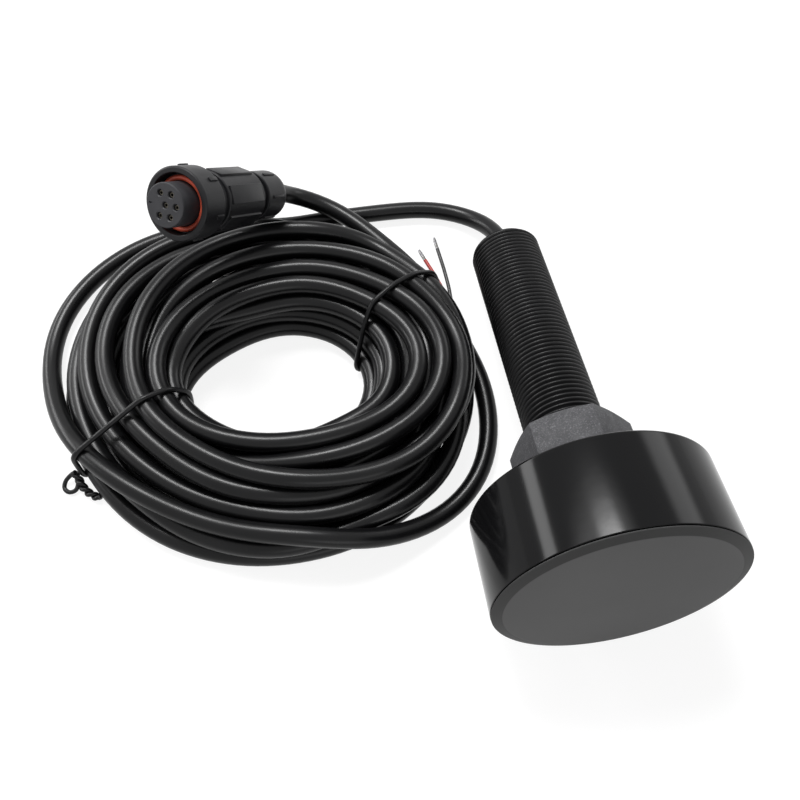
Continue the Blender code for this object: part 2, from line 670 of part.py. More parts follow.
def build_cords():
    """The stretches of cord that are not coiled, and the two bared supply wires."""
    jacket = material("cable jacket", (0.01, 0.01, 0.011), 0.35)
    tube("stem_lead", lead_route(STEM_LEAD_ROUTE, STEM_END, STEM_AXIS), CABLE_RADIUS, jacket)
    rear = CONNECTOR_FRONT - CONNECTOR_AXIS * CONNECTOR_REAR_LENGTH
    points = lead_route(CONNECTOR_LEAD_ROUTE, rear, -CONNECTOR_AXIS)
    tube("connector_lead", points, CABLE_RADIUS, jacket)
    points = smooth_route(route(LOOSE_TURN_ROUTE), CABLE_POINT_SPACING)
    tube("loose_turn", points, CABLE_RADIUS, jacket)

    colours = {"red_wire": (0.5, 0.02, 0.02), "black_wire": (0.01, 0.01, 0.01)}
    tinned = material("tinned copper", (0.6, 0.58, 0.55), 0.35, 1.0)
    for name, wire_route in WIRE_ROUTES.items():
        insulation = material(name.replace("_", " ") + " insulation", colours[name], 0.45)
        points = smooth_route(route(wire_route), 3 * MM)
        tube(name, points, WIRE_RADIUS, insulation)
        along = (points[-1] - points[-2]).normalized()
        begin = points[-1] + along * CLEARANCE
        tube(name + "_tip", [begin, begin + along * WIRE_TIP_LENGTH], WIRE_TIP_RADIUS, tinned)


def build():
    lying = Matrix.Translation(FACE_CENTRE) @ Matrix.Rotation(-(math.pi / 2 + LYING), 4, "X")
    stem_axis = frame_empty("stem_axis", lying)
    build_head(stem_axis)
    build_stem(stem_axis)
    build_hull_nut(stem_axis)
    flat = Vector((CONNECTOR_AXIS.x, CONNECTOR_AXIS.y, 0.0)).normalized()
    sideways = Vector((-flat.y, flat.x, 0.0))
    turned_up = CONNECTOR_AXIS.cross(sideways)
    pointing = Matrix((sideways, turned_up, CONNECTOR_AXIS)).transposed().to_4x4()
    connector_axis = frame_empty("connector_axis", Matrix.Translation(CONNECTOR_FRONT) @ pointing)
    build_connector(connector_axis)
    build_coil()
    build_cords()


build()
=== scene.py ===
"""Fish finder transducer beside its coiled cable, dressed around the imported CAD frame.

The potted head lies on its rear rim with its threaded stem and hull nut, the cable is one
continuous wound cord from the stem to the screw collar connector, and two tie wires hold it.
"""

import logging
import math
from collections.abc import Iterable, Sequence
from dataclasses import dataclass, field
from enum import Enum

import bmesh
import bpy
import numpy as np
from mathutils import Matrix, Vector


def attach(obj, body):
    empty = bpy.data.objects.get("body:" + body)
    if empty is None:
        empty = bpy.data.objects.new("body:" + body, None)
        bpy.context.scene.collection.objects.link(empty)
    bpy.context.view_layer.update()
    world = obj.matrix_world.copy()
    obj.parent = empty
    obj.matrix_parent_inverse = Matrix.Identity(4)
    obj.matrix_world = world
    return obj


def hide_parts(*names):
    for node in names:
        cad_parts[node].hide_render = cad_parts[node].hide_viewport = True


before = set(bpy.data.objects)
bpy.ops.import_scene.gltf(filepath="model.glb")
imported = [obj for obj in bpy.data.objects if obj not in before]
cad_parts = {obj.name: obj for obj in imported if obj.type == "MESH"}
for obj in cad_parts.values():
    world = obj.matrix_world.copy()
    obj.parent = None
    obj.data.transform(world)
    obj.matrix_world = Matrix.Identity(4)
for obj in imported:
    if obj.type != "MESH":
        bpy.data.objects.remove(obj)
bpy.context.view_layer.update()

MM = 0.001
WELD = 1e-4
HELD_BESIDE = 0.06
HELD_LEAST = 8 * HELD_BESIDE
LOG = logging.getLogger("transducer")

Spot = tuple[float, float]
Point = tuple[float, float, float]
BMesh = bmesh.types.BMesh
Tree = bpy.types.NodeTree
Socket = bpy.types.NodeSocket
Piece = bpy.types.Object

LYING = math.radians(12.0547)
FACE_CENTRE = Vector((0.0, -68.575, 42.960)) * MM
STEM_AXIS = Vector((0.0, math.cos(LYING), -math.sin(LYING)))
TRANSDUCER_LENGTH = 145.0
STEM_PLACE = Matrix.Translation(FACE_CENTRE) @ Matrix.Rotation(-(math.pi / 2 + LYING), 4, "X")

CABLE_RADIUS = 3.4
WINDOW_FLAT_RADIUS = 34.3
CONNECTOR_FRONT = Vector((-115.0, 71.5, 64.8))
CONNECTOR_AXIS = Vector((-0.474, -0.572, 0.669)).normalized()


class Body(Enum):
    """The bodies of the frame that the pieces ride on."""

    TRANSDUCER = "transducer"
    WASHER = "washer"
    NUT = "nut"
    COUPLING = "coupling"


class Slot(Enum):
    """The record's material slots, which each finish names."""

    GLOSS_BLACK = "gloss_black_plastic"
    GREY_WINDOW = "grey_window"
    SATIN_BLACK = "satin_black_plastic"
    GREY_NYLON = "grey_nylon"
    MATT_BLACK = "matt_black_plastic"
    BLACK_RUBBER = "black_rubber"
    ORANGE_RUBBER = "orange_rubber"
    CABLE_JACKET = "black_cable_jacket"
    RESIN = "black_resin"
    CERAMIC = "ceramic"
    CORK = "cork"
    PLATED_BRASS = "plated_brass"
    TINNED_COPPER = "tinned_copper"
    CORE_INSULATION = "core_insulation"
    RED_INSULATION = "red_insulation"
    BLACK_INSULATION = "black_insulation"
    TIE = "black_tie"


# Materials


WHITE = "ffffff"
COLOURS = {"data_type": "RGBA"}
MIX_FIRST, MIX_SECOND, MIX_RESULT = 6, 7, 2


def linear(hex_colour: str) -> tuple[float, float, float, float]:
    """Turns an sRGB hex colour to the linear values that the shader takes.

    Args:
        hex_colour: Six hex digits, such as "1b1b1c".

    Returns:
        Red, green, blue and an alpha of 1.
    """
    parts = [int(hex_colour[i:i + 2], 16) / 255 for i in (0, 2, 4)]
    low = [p / 12.92 if p <= 0.04045 else ((p + 0.055) / 1.055) ** 2.4 for p in parts]
    return (*low, 1.0)


def add(tree: Tree, kind: str, settings: dict[str, object] | None = None,
        numbered: dict[int, object] | None = None, **named: object) -> bpy.types.Node:
    """Adds a node with its settings, input values and links.

    Args:
        tree: The node tree.
        kind: The node's type name, without the ShaderNode that it starts with.
        settings: Attributes of the node.
        numbered: Values or output sockets by input number.
        named: Values or output sockets by input name, with _ for a space.

    Returns:
        The new node.
    """
    node = tree.nodes.new("ShaderNode" + kind)
    for key, value in (settings or {}).items():
        setattr(node, key, value)
    spaced = {key.replace("_", " "): value for key, value in named.items()}
    for key, value in ((numbered or {}) | spaced).items():
        socket = (node.inputs[key] if isinstance(key, int)
                  else next(s for s in node.inputs if s.name == key and s.enabled))
        if isinstance(value, Socket):
            tree.links.new(value, socket)
        else:
            socket.default_value = value
    return node


def emptied(owner: bpy.types.ID) -> Tree:
    """Turns on the nodes of a material, lamp or world and removes those it starts with."""
    owner.use_nodes = True
    owner.node_tree.nodes.clear()
    return owner.node_tree


@dataclass(frozen=True)
class Finish:
    """A surface and how it was made: two close tones, its sheen and its fine grain.

    Sizes are in millimetres. tone and mottle are sRGB hex colours, gloss is the specular level.
    """

    name: str
    slot: Slot
    tone: str
    mottle: str
    mottle_size: float = 12.0
    roughness: float = 0.5
    roughness_spread: float = 0.05
    gloss: float = 0.5
    ior: float = 1.5
    metallic: float = 0.0
    grain: float = 0.4
    grain_height: float = 0.01

    def noise(self, tree: Tree, place: Socket, size: float, detail: float = 2.0) -> Socket:
        """Adds noise whose blotches are about size millimetres across."""
        return add(tree, "TexNoise", Vector=place, Scale=1 / (size * MM), Detail=detail,
                   Roughness=0.55).outputs["Fac"]

    def span(self, tree: Tree, value: Socket, low: float, high: float) -> Socket:
        """Maps a noise value around its middle to a range."""
        return add(tree, "MapRange", {"clamp": True}, Value=value, From_Min=0.3, From_Max=0.7,
                   To_Min=low, To_Max=high).outputs["Result"]

    def colour(self, tree: Tree, place: Socket) -> Socket:
        """Blends the two tones in soft patches."""
        patches = self.span(tree, self.noise(tree, place, self.mottle_size), 0.0, 1.0)
        tones = {MIX_FIRST: linear(self.tone), MIX_SECOND: linear(self.mottle)}
        return add(tree, "Mix", COLOURS, tones, Factor=patches).outputs[MIX_RESULT]

    def material(self) -> bpy.types.Material:
        """Makes the material once and gives it again when asked.

        Returns:
            The material of this finish.
        """
        made = bpy.data.materials.get(self.name)
        if made is not None:
            return made
        made = bpy.data.materials.new(self.name)
        tree = emptied(made)
        place = add(tree, "TexCoord").outputs["Object"]
        rough = self.span(tree, self.noise(tree, place, 1.7 * self.mottle_size),
                          max(0.02, self.roughness - self.roughness_spread),
                          self.roughness + self.roughness_spread)
        bump = add(tree, "Bump", Strength=1.0, Distance=self.grain_height * MM,
                   Height=self.noise(tree, place, self.grain, 3.0))
        shader = add(tree, "BsdfPrincipled", Base_Color=self.colour(tree, place), Roughness=rough,
                     Metallic=self.metallic, IOR=self.ior, Specular_IOR_Level=self.gloss,
                     Normal=bump.outputs["Normal"])
        add(tree, "OutputMaterial", Surface=shader.outputs["BSDF"])
        return made


@dataclass(frozen=True)
class GlassFilledNylon(Finish):
    """Nylon with short glass fibre, moulded: pale specks of fibre in a pitted dark grey skin."""

    speck: str = "8d8d90"
    speck_size: float = 0.45

    def colour(self, tree: Tree, place: Socket) -> Socket:
        """Adds pale fibre specks to the patches."""
        cells = add(tree, "TexVoronoi", Vector=place, Scale=1 / (self.speck_size * MM))
        grain = self.noise(tree, place, 2 * self.speck_size, 4.0)
        lift = add(tree, "Math", {"operation": "MULTIPLY"}, {0: cells.outputs["Color"], 1: grain})
        where = add(tree, "MapRange", {"clamp": True}, Value=lift.outputs[0], From_Min=0.28,
                    From_Max=0.52, To_Min=0.0, To_Max=0.55)
        tones = {MIX_FIRST: Finish.colour(self, tree, place), MIX_SECOND: linear(self.speck)}
        return add(tree, "Mix", COLOURS, tones, Factor=where.outputs["Result"]).outputs[MIX_RESULT]


@dataclass(frozen=True)
class PressedCork(Finish):
    """Granulated cork pressed into sheet: brown crumbs with dark joints between them."""

    crumb: float = 1.6

    def colour(self, tree: Tree, place: Socket) -> Socket:
        """Gives each crumb a tone of its own."""
        cells = add(tree, "TexVoronoi", Vector=place, Scale=1 / (self.crumb * MM))
        tones = {MIX_FIRST: linear(self.mottle), MIX_SECOND: linear(self.tone)}
        return add(tree, "Mix", COLOURS, tones,
                   Factor=cells.outputs["Distance"]).outputs[MIX_RESULT]


@dataclass(frozen=True)
class GroundWindow(Finish):
    """Cast urethane with a flat face and a ground chamfer round it that looks darker."""

    rim: str = "4b4b4b"
    before: float = 0.15
    beyond: float = 0.1

    def colour(self, tree: Tree, place: Socket) -> Socket:
        """Darkens everything farther from the stem's axis than the flat face."""
        off = add(tree, "VectorMath", {"operation": "SUBTRACT"}, {0: place, 1: FACE_CENTRE})
        aside = add(tree, "VectorMath", {"operation": "CROSS_PRODUCT"},
                    {0: off.outputs[0], 1: STEM_AXIS})
        reach = add(tree, "VectorMath", {"operation": "LENGTH"}, {0: aside.outputs[0]})
        edge = add(tree, "MapRange", {"clamp": True}, Value=reach.outputs["Value"],
                   From_Min=(WINDOW_FLAT_RADIUS - self.before) * MM,
                   From_Max=(WINDOW_FLAT_RADIUS + self.beyond) * MM, To_Min=0.0, To_Max=1.0)
        tones = {MIX_FIRST: Finish.colour(self, tree, place), MIX_SECOND: linear(self.rim)}
        return add(tree, "Mix", COLOURS, tones, Factor=edge.outputs["Result"]).outputs[MIX_RESULT]


# Glossy black ABS, injection moulded in a polished tool: a clean mirror with faint waves.
GLOSS_ABS = Finish("gloss_black_abs", Slot.GLOSS_BLACK, "0d0d0e", "0f0f10", 30.0, 0.12, 0.01,
                   0.13, grain=6.0, grain_height=0.012)
# Cast grey polyurethane, sanded flat: an even satin skin with very faint clouds.
WINDOW_URETHANE = GroundWindow("cast_grey_urethane", Slot.GREY_WINDOW, "6e6e6e", "6b6b6b",
                               26.0, 0.6, 0.03, 0.15, grain=0.3, grain_height=0.004)
# Black nylon, moulded and thread cut: satin, a little duller in the cut flanks.
STEM_NYLON = Finish("satin_black_nylon", Slot.SATIN_BLACK, "0e0e0f", "141415", 8.0, 0.36, 0.05,
                    0.26, grain=0.35, grain_height=0.006)
# Nylon filled with short glass fibre, moulded: dull dark grey with pale specks of fibre.
HULL_NUT_NYLON = GlassFilledNylon("glass_filled_nylon", Slot.GREY_NYLON, "3c3c3e", "464648", 3.0,
                                  0.7, 0.08, 0.3, speck="747478", speck_size=0.28,
                                  grain=0.5, grain_height=0.05)
# Black nylon with a spark eroded tool skin: matt, with a fine even pebble.
CONNECTOR_NYLON = Finish("matt_black_nylon", Slot.MATT_BLACK, "19191b", "1f1f21", 5.0, 0.4, 0.05,
                         0.2, grain=0.25, grain_height=0.012)
# The same nylon with a plainer skin: a little paler, as the photograph shows the insert.
INSERT_NYLON = Finish("dark_insert_nylon", Slot.MATT_BLACK, "2c2c2f", "323235", 4.0, 0.5, 0.06,
                      0.25, grain=0.25, grain_height=0.01)
# Nitrile rubber, pressed: dull black with a dusty bloom.
BLACK_RUBBER = Finish("black_nitrile", Slot.BLACK_RUBBER, "141414", "1e1e1e", 4.0, 0.75, 0.08,
                      0.3, grain=0.3, grain_height=0.01)
# Silicone rubber, pressed: orange red and slightly waxy.
ORANGE_SILICONE = Finish("orange_silicone", Slot.ORANGE_RUBBER, "d25a42", "c24c36", 3.0, 0.42,
                         0.05, 0.5, ior=1.41, grain=0.3, grain_height=0.005)
# Flexible PVC, drawn over the cores: semi gloss, with long faint waves along it.
JACKET_PVC = Finish("black_pvc_jacket", Slot.CABLE_JACKET, "0c0c0d", "111112", 14.0, 0.3, 0.03,
                    0.21, grain=2.4, grain_height=0.012)
# PVC drawn over the tie wires: near black and satin.
TIE_PVC = Finish("black_tie_coating", Slot.TIE, "0e0e0f", "151516", 4.0, 0.35, 0.05, 0.2,
                 grain=0.8, grain_height=0.01)
# Thin PVC insulation, drawn over the strands: satin, with a faint even grain.
RED_PVC = Finish("red_pvc", Slot.RED_INSULATION, "b3322c", "9c2822", 4.0, 0.4, 0.05, 0.4,
                 grain=0.6, grain_height=0.006)
BLACK_PVC = Finish("black_wire_pvc", Slot.BLACK_INSULATION, "161617", "1d1d1e", 4.0, 0.4, 0.05,
                   0.4, grain=0.6, grain_height=0.006)
CORE_PVC = Finish("core_pvc", Slot.CORE_INSULATION, "8a2a24", "7c241f", 4.0, 0.45, 0.05, 0.4,
                  grain=0.6, grain_height=0.006)
# Poured epoxy, set hard: glossy black with slow waves.
EPOXY = Finish("black_epoxy", Slot.RESIN, "101011", "17171a", 14.0, 0.25, 0.06, 0.5, grain=3.0,
               grain_height=0.05)
# Fired ceramic with a matt skin: warm white with faint pits.
CERAMIC = Finish("fired_ceramic", Slot.CERAMIC, "cfc8b6", "c2baa6", 6.0, 0.55, 0.08, 0.5,
                 grain=0.3, grain_height=0.02)
# Granulated cork, pressed into sheet: brown crumbs with dark joints.
CORK = PressedCork("pressed_cork", Slot.CORK, "a9743f", "5d3a1d", 6.0, 0.9, 0.05, 0.3, grain=0.8,
                   grain_height=0.15)
# Nickel plated brass, toned darker than clean metal: painted shade, for the dark holes that the
# contacts sit in.
PLATED_BRASS = Finish("nickelled_brass_painted_shade", Slot.PLATED_BRASS, "5c5850", "4e4b44", 2.0, 0.45, 0.05,
                      metallic=1.0, grain=0.2, grain_height=0.003)
# Copper strands, dipped in tin: a dull grey metal.
TINNED_COPPER = Finish("tin_dipped_copper", Slot.TINNED_COPPER, "96959a", "7d7c78", 1.0, 0.45,
                       0.08, metallic=1.0, grain=0.15, grain_height=0.004)


# Shapes


def arc(x: float, z: float, radius: float, start: float, end: float, steps: int) -> list[Spot]:
    """Points of an arc in a profile, from one angle to another.

    Args:
        x: Distance of its centre from the axis.
        z: Height of its centre.
        radius: Its radius.
        start: First angle in degrees.
        end: Last angle in degrees.
        steps: How many stretches it has.

    Returns:
        The points as (distance from the axis, height).
    """
    turns = [math.radians(start + (end - start) * i / steps) for i in range(steps + 1)]
    return [(x + radius * math.cos(a), z + radius * math.sin(a)) for a in turns]


def corner(radius: float, height: float, ease: float, steps: int, top: bool = True) -> list[Spot]:
    """An outline's rounded outer corner, drawn downwards.

    Args:
        radius: Distance of the wall from the axis.
        height: Height of the end face.
        ease: The corner's own radius.
        steps: How many stretches it has.
        top: Whether it is the wall's upper end.

    Returns:
        The points as (distance from the axis, height).
    """
    if top:
        return arc(radius - ease, height - ease, ease, 90, 0, steps)
    return arc(radius - ease, height + ease, ease, 0, -90, steps)


def held_flat(profile: Sequence[Spot], closed: bool) -> list[Spot]:
    """Adds a point just inside both ends of each long stretch, so that it shades flat."""
    points = list(profile)
    pairs = list(zip(points, points[1:] + (points[:1] if closed else [])))
    out: list[Spot] = []
    for (x0, z0), (x1, z1) in pairs:
        out.append((x0, z0))
        size = math.hypot(x1 - x0, z1 - z0)
        if size > HELD_LEAST:
            for share in (HELD_BESIDE / size, 1 - HELD_BESIDE / size):
                out.append((x0 + (x1 - x0) * share, z0 + (z1 - z0) * share))
    return out if closed else out + [points[-1]]


def turned(profile: Sequence[Spot], steps: int, closed: bool = True, crisp: bool = True) -> BMesh:
    """Spins a profile round the Z axis, in millimetres.

    Args:
        profile: Points as (distance from the axis, height).
        steps: Stretches in the full turn.
        closed: Whether the profile is a loop.
        crisp: Whether its long stretches shade flat.

    Returns:
        The turned shape.
    """
    built = bmesh.new()
    if crisp:
        profile = held_flat(profile, closed)
    points = [built.verts.new((x, 0.0, z)) for x, z in profile]
    edges = [built.edges.new(pair) for pair in zip(points, points[1:])]
    if closed:
        edges.append(built.edges.new((points[-1], points[0])))
    bmesh.ops.spin(built, geom=points + edges, cent=(0, 0, 0), axis=(0, 0, 1), dvec=(0, 0, 0),
                   angle=math.tau, steps=steps, use_merge=True, use_duplicate=False)
    bmesh.ops.remove_doubles(built, verts=built.verts, dist=WELD)
    bmesh.ops.recalc_face_normals(built, faces=built.faces)
    return built


def block(size: Point, place: Matrix, round_off: float) -> BMesh:
    """A block with rounded edges, in millimetres."""
    built = bmesh.new()
    bmesh.ops.create_cube(built, size=1.0, matrix=Matrix.Diagonal((*size, 1.0)))
    bmesh.ops.bevel(built, geom=built.edges, offset=round_off, affect="EDGES", segments=2,
                    profile=0.5, material=-1)
    bmesh.ops.transform(built, matrix=place, verts=built.verts)
    return built


def around(count: int, first: float) -> list[Matrix]:
    """Equal turns about Z, from a first angle in degrees."""
    return [Matrix.Rotation(math.radians(first + 360 * i / count), 4, "Z") for i in range(count)]


def only(geometry: Iterable[object], kind: type) -> list:
    """The parts of one kind in a mixed list of mesh parts."""
    return [part for part in geometry if isinstance(part, kind)]


def linked(name: str, data: bpy.types.ID) -> Piece:
    """A new object with its data, linked to the scene."""
    made = bpy.data.objects.new(name, data)
    bpy.context.scene.collection.objects.link(made)
    return made


def turned_to(place: Sequence[float], side: Vector, up: Vector, out: Vector) -> Matrix:
    """A place whose own X, Y and Z point along three directions."""
    return Matrix.Translation(place) @ Matrix((side, up, out)).transposed().to_4x4()


def as_object(name: str, built: BMesh) -> Piece:
    """Turns a bmesh into a linked object and frees it."""
    mesh = bpy.data.meshes.new(name)
    built.to_mesh(mesh)
    built.free()
    return linked(name, mesh)


def combined(base: BMesh, tools: Iterable[BMesh], operation: str) -> BMesh:
    """Adds shapes to a shape, or cuts them out of it.

    Args:
        base: The shape that stays, in millimetres.
        tools: The shapes that are added or cut out.
        operation: UNION or DIFFERENCE.

    Returns:
        The new shape.
    """
    body = as_object("shaping_base", base)
    joined = bmesh.new()
    for tool in tools:
        mesh = bpy.data.meshes.new("shaping_tool")
        tool.to_mesh(mesh)
        tool.free()
        joined.from_mesh(mesh)
        bpy.data.meshes.remove(mesh)
    cutter = as_object("shaping_tools", joined)
    step = body.modifiers.new("shape", "BOOLEAN")
    step.operation = operation
    step.object = cutter
    step.solver = "EXACT"
    step.use_self = True
    shaped = body.evaluated_get(bpy.context.evaluated_depsgraph_get()).to_mesh()
    built = bmesh.new()
    built.from_mesh(shaped)
    bpy.data.objects.remove(body)
    bpy.data.objects.remove(cutter)
    bmesh.ops.remove_doubles(built, verts=built.verts, dist=WELD)
    return built


def dressed(piece: Piece, finish: Finish, body: Body, nodes: Sequence[str]) -> Piece:
    """Gives a piece its finish and body, and lets it stand for CAD nodes.

    Args:
        piece: The piece, in place.
        finish: Its finish.
        body: The body that it rides on.
        nodes: The CAD nodes that it replaces.

    Returns:
        The piece.
    """
    piece.data.materials.clear()
    piece.data.materials.append(finish.material())
    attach(piece, body.value)
    if nodes:
        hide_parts(*nodes)
    LOG.info("%s: %s on %s", piece.name, finish.name, body.value)
    return piece


def placed(name: str, built: BMesh, place: Matrix, finish: Finish, nodes: Sequence[str],
           body: Body = Body.TRANSDUCER, crease: float = 35.0) -> Piece:
    """Puts a shape that was drawn in millimetres in its place and dresses it.

    Args:
        name: The piece's name.
        built: The shape, in millimetres about its own axis.
        place: Where that axis is, in metres.
        finish: Its finish.
        nodes: The CAD nodes that it replaces.
        body: The body that it rides on.
        crease: Edges sharper than this many degrees stay sharp in the shading.

    Returns:
        The piece.
    """
    bmesh.ops.transform(built, matrix=place @ Matrix.Scale(MM, 4), verts=built.verts)
    for face in built.faces:
        face.smooth = True
    for edge in built.edges:
        edge.smooth = edge.calc_face_angle(math.pi) < math.radians(crease)
    return dressed(as_object(name, built), finish, body, nodes)


def strand(name: str, points: np.ndarray, radius: float, finish: Finish,
           nodes: Sequence[str] = (), closed: bool = False, rounds: int = 3) -> Piece:
    """A round cord along a line of points, as one spline. It rides on the transducer.

    Args:
        name: The piece's name.
        points: Its centreline in metres.
        radius: Its radius in metres.
        finish: Its finish.
        nodes: The CAD nodes that it replaces.
        closed: Whether it is a loop.
        rounds: Bevel resolution of its section.

    Returns:
        The piece.
    """
    curve = bpy.data.curves.new(name, "CURVE")
    curve.dimensions = "3D"
    curve.bevel_depth = radius
    curve.bevel_resolution = rounds
    curve.use_fill_caps = not closed
    line = curve.splines.new("POLY")
    line.points.add(len(points) - 1)
    flat = np.concatenate([points, np.ones((len(points), 1))], axis=1).ravel()
    line.points.foreach_set("co", flat)
    line.use_cyclic_u = closed
    line.use_smooth = True
    return dressed(linked(name, curve), finish, Body.TRANSDUCER, nodes)


def hermite(keys: np.ndarray, values: np.ndarray, at: np.ndarray) -> np.ndarray:
    """A smooth line through values at keys.

    Args:
        keys: Growing positions, one for each row of values.
        values: One row for each key.
        at: Positions that are asked for.

    Returns:
        One row for each position.
    """
    slope = np.gradient(values, keys, axis=0)
    k = np.clip(np.searchsorted(keys, at) - 1, 0, len(keys) - 2)
    width = (keys[k + 1] - keys[k])[:, None]
    t = (at - keys[k])[:, None] / width
    return ((2 * t**3 - 3 * t**2 + 1) * values[k] + (t**3 - 2 * t**2 + t) * width * slope[k]
            + (3 * t**2 - 2 * t**3) * values[k + 1] + (t**3 - t**2) * width * slope[k + 1])


def run_length(points: np.ndarray) -> np.ndarray:
    """Length along a line up to each of its points."""
    return np.concatenate([[0.0], np.cumsum(np.linalg.norm(np.diff(points, axis=0), axis=1))])


def smooth_run(points: Sequence[Sequence[float]], step: float) -> np.ndarray:
    """An evenly spaced smooth line through a few points, in their own unit."""
    rough = np.asarray(points, float)
    keys = run_length(rough)
    fine = hermite(keys, rough, np.linspace(0, keys[-1], 40 * len(rough)))
    along = run_length(fine)
    at = np.linspace(0, along[-1], max(2, round(along[-1] / step)) + 1)
    return np.stack([np.interp(at, along, fine[:, i]) for i in range(fine.shape[1])], axis=1)


# Studio


@dataclass
class Softbox:
    """One soft lamp that fades towards its edges.

    Its width runs across the long direction and its length along it, in metres. brightness is
    its radiance, where 1 is white.
    """

    name: str
    place: Point
    target: Point
    long: Point
    width: float
    length: float
    brightness: float
    edge: float = 0.3

    def fade(self, tree: Tree, across: Socket) -> Socket:
        """Falls from 1 at the middle of one direction to 0 at its two edges."""
        off = add(tree, "Math", {"operation": "SUBTRACT"}, {0: across, 1: 0.5})
        size = add(tree, "Math", {"operation": "ABSOLUTE"}, {0: off.outputs[0]})
        return add(tree, "MapRange", {"interpolation_type": "SMOOTHSTEP", "clamp": True},
                   Value=size.outputs[0], From_Min=0.5 - self.edge, From_Max=0.5, To_Min=1.0,
                   To_Max=0.0).outputs["Result"]

    def build(self) -> None:
        """Adds the lamp."""
        light = bpy.data.lights.new(self.name, "AREA")
        light.shape = "RECTANGLE"
        light.size, light.size_y = self.width, self.length
        light.energy = self.brightness * math.pi * self.width * self.length
        tree = emptied(light)
        where = add(tree, "NewGeometry").outputs["Parametric"]
        spot = add(tree, "SeparateXYZ", Vector=where).outputs
        both = add(tree, "Math", {"operation": "MULTIPLY"},
                   {0: self.fade(tree, spot["X"]), 1: self.fade(tree, spot["Y"])})
        glow = add(tree, "Emission", Strength=both.outputs[0])
        add(tree, "OutputLight", Surface=glow.outputs[0])
        away = (Vector(self.place) - Vector(self.target)).normalized()
        along = Vector(self.long)
        along = (along - away * along.dot(away)).normalized()
        linked(self.name, light).matrix_world = turned_to(self.place, along.cross(away), along,
                                                          away)


@dataclass
class Studio:
    """The camera of the photograph, a pale floor, a white surround and soft lamps."""

    eye: Point = (-0.0690, -0.10618, 0.26996)
    look: Point = (0.0656, 0.4280, -0.9014)
    right: Point = (0.9885, -0.1514, 0.0)
    lens: float = 35.966
    floor_half: float = 6.0
    floor_drop: float = 0.0002
    floor_tone: str = "7c7c7c"
    fill: float = 0.87
    ambient: float = 0.22
    boxes: list[Softbox] = field(default_factory=lambda: [
        Softbox("box_over", (-0.22, 0.66, 1.24), (-0.06, 0.02, 0.02), (1, 0, 0), 0.38, 0.60, 38.0),
        Softbox("box_wide", (-0.45, 0.70, 1.22), (-0.06, 0.02, 0.02), (1, 0, 0), 0.50, 1.8, 6.0),
        Softbox("box_left", (-1.00, 0.50, 0.44), (0.0, -0.05, 0.04), (0, 1, 0), 0.27, 1.10, 11.0,
                0.2),
        Softbox("box_right", (0.98, 0.62, 0.50), (0.0, -0.05, 0.04), (0, 1, 0), 0.60, 0.9, 3.4),
        Softbox("box_front", (0.10, -1.15, 0.55), (-0.03, -0.05, 0.04), (1, 0, 0), 0.7, 1.3, 1.7),
    ])

    def build_camera(self) -> None:
        """Sets the camera from the photograph's viewpoint."""
        data = bpy.data.cameras.new("photo_camera")
        data.lens = self.lens
        data.sensor_width = 36.0
        data.clip_start = 0.01
        back = -Vector(self.look).normalized()
        side = (Vector(self.right) - back * Vector(self.right).dot(back)).normalized()
        camera = linked("photo_camera", data)
        camera.matrix_world = turned_to(self.eye, side, back.cross(side), back)
        bpy.context.scene.camera = camera

    def seen_directly(self, tree: Tree) -> Socket:
        """One where the eye, a mirror or a clear body sees this, else zero."""
        path = add(tree, "LightPath").outputs
        total = path["Is Camera Ray"]
        for name in ("Is Glossy Ray", "Is Transmission Ray"):
            node = add(tree, "Math", {"operation": "MAXIMUM"}, {0: total, 1: path[name]})
            total = node.outputs[0]
        return total

    def build_world(self) -> None:
        """A dim even light from all round that the eye sees as white."""
        world = bpy.data.worlds.new("surround")
        tree = emptied(world)
        dim = add(tree, "Background", Color=linear(WHITE), Strength=self.ambient)
        white = add(tree, "Background", Color=linear(WHITE), Strength=1.0)
        mix = add(tree, "MixShader", None,
                  {0: self.seen_directly(tree), 1: dim.outputs[0], 2: white.outputs[0]})
        add(tree, "OutputWorld", Surface=mix.outputs[0])
        bpy.context.scene.world = world

    def build_floor(self) -> None:
        """A pale matt floor that keeps the shadow and meets the eye as white."""
        built = bmesh.new()
        bmesh.ops.create_grid(built, x_segments=1, y_segments=1, size=self.floor_half)
        bmesh.ops.translate(built, vec=(0, 0, -self.floor_drop), verts=built.verts)
        floor = as_object("floor", built)
        material = bpy.data.materials.new("white_sweep")
        tree = emptied(material)
        matt = add(tree, "BsdfDiffuse", Color=linear(self.floor_tone))
        strength = add(tree, "Math", {"operation": "MULTIPLY"},
                       {0: self.seen_directly(tree), 1: self.fill})
        glow = add(tree, "Emission", Color=linear(WHITE), Strength=strength.outputs[0])
        both = add(tree, "AddShader", None, {0: matt.outputs[0], 1: glow.outputs[0]})
        add(tree, "OutputMaterial", Surface=both.outputs[0])
        floor.data.materials.append(material)

    def build(self) -> None:
        """Builds the whole studio."""
        bpy.context.scene.view_settings.view_transform = "Standard"
        self.build_camera()
        self.build_world()
        self.build_floor()
        for box in self.boxes:
            box.build()


# Cable


@dataclass(frozen=True)
class Turn:
    """One turn of the coil, counter-clockwise from the side that faces the head.

    places holds (angle in degrees, distance from the hole's middle, height) in millimetres, and
    seen the stretches of angle that the photograph shows from above.
    """

    places: tuple[Point, ...]
    seen: tuple[Spot, ...] = ()


def buried(low: float, heights: float, first: Sequence[float]) -> Turn:
    """A turn inside the coil that nothing shows, at one height, every 30 degrees."""
    return Turn(tuple((low + 30.0 * i, r, heights) for i, r in enumerate(first)))


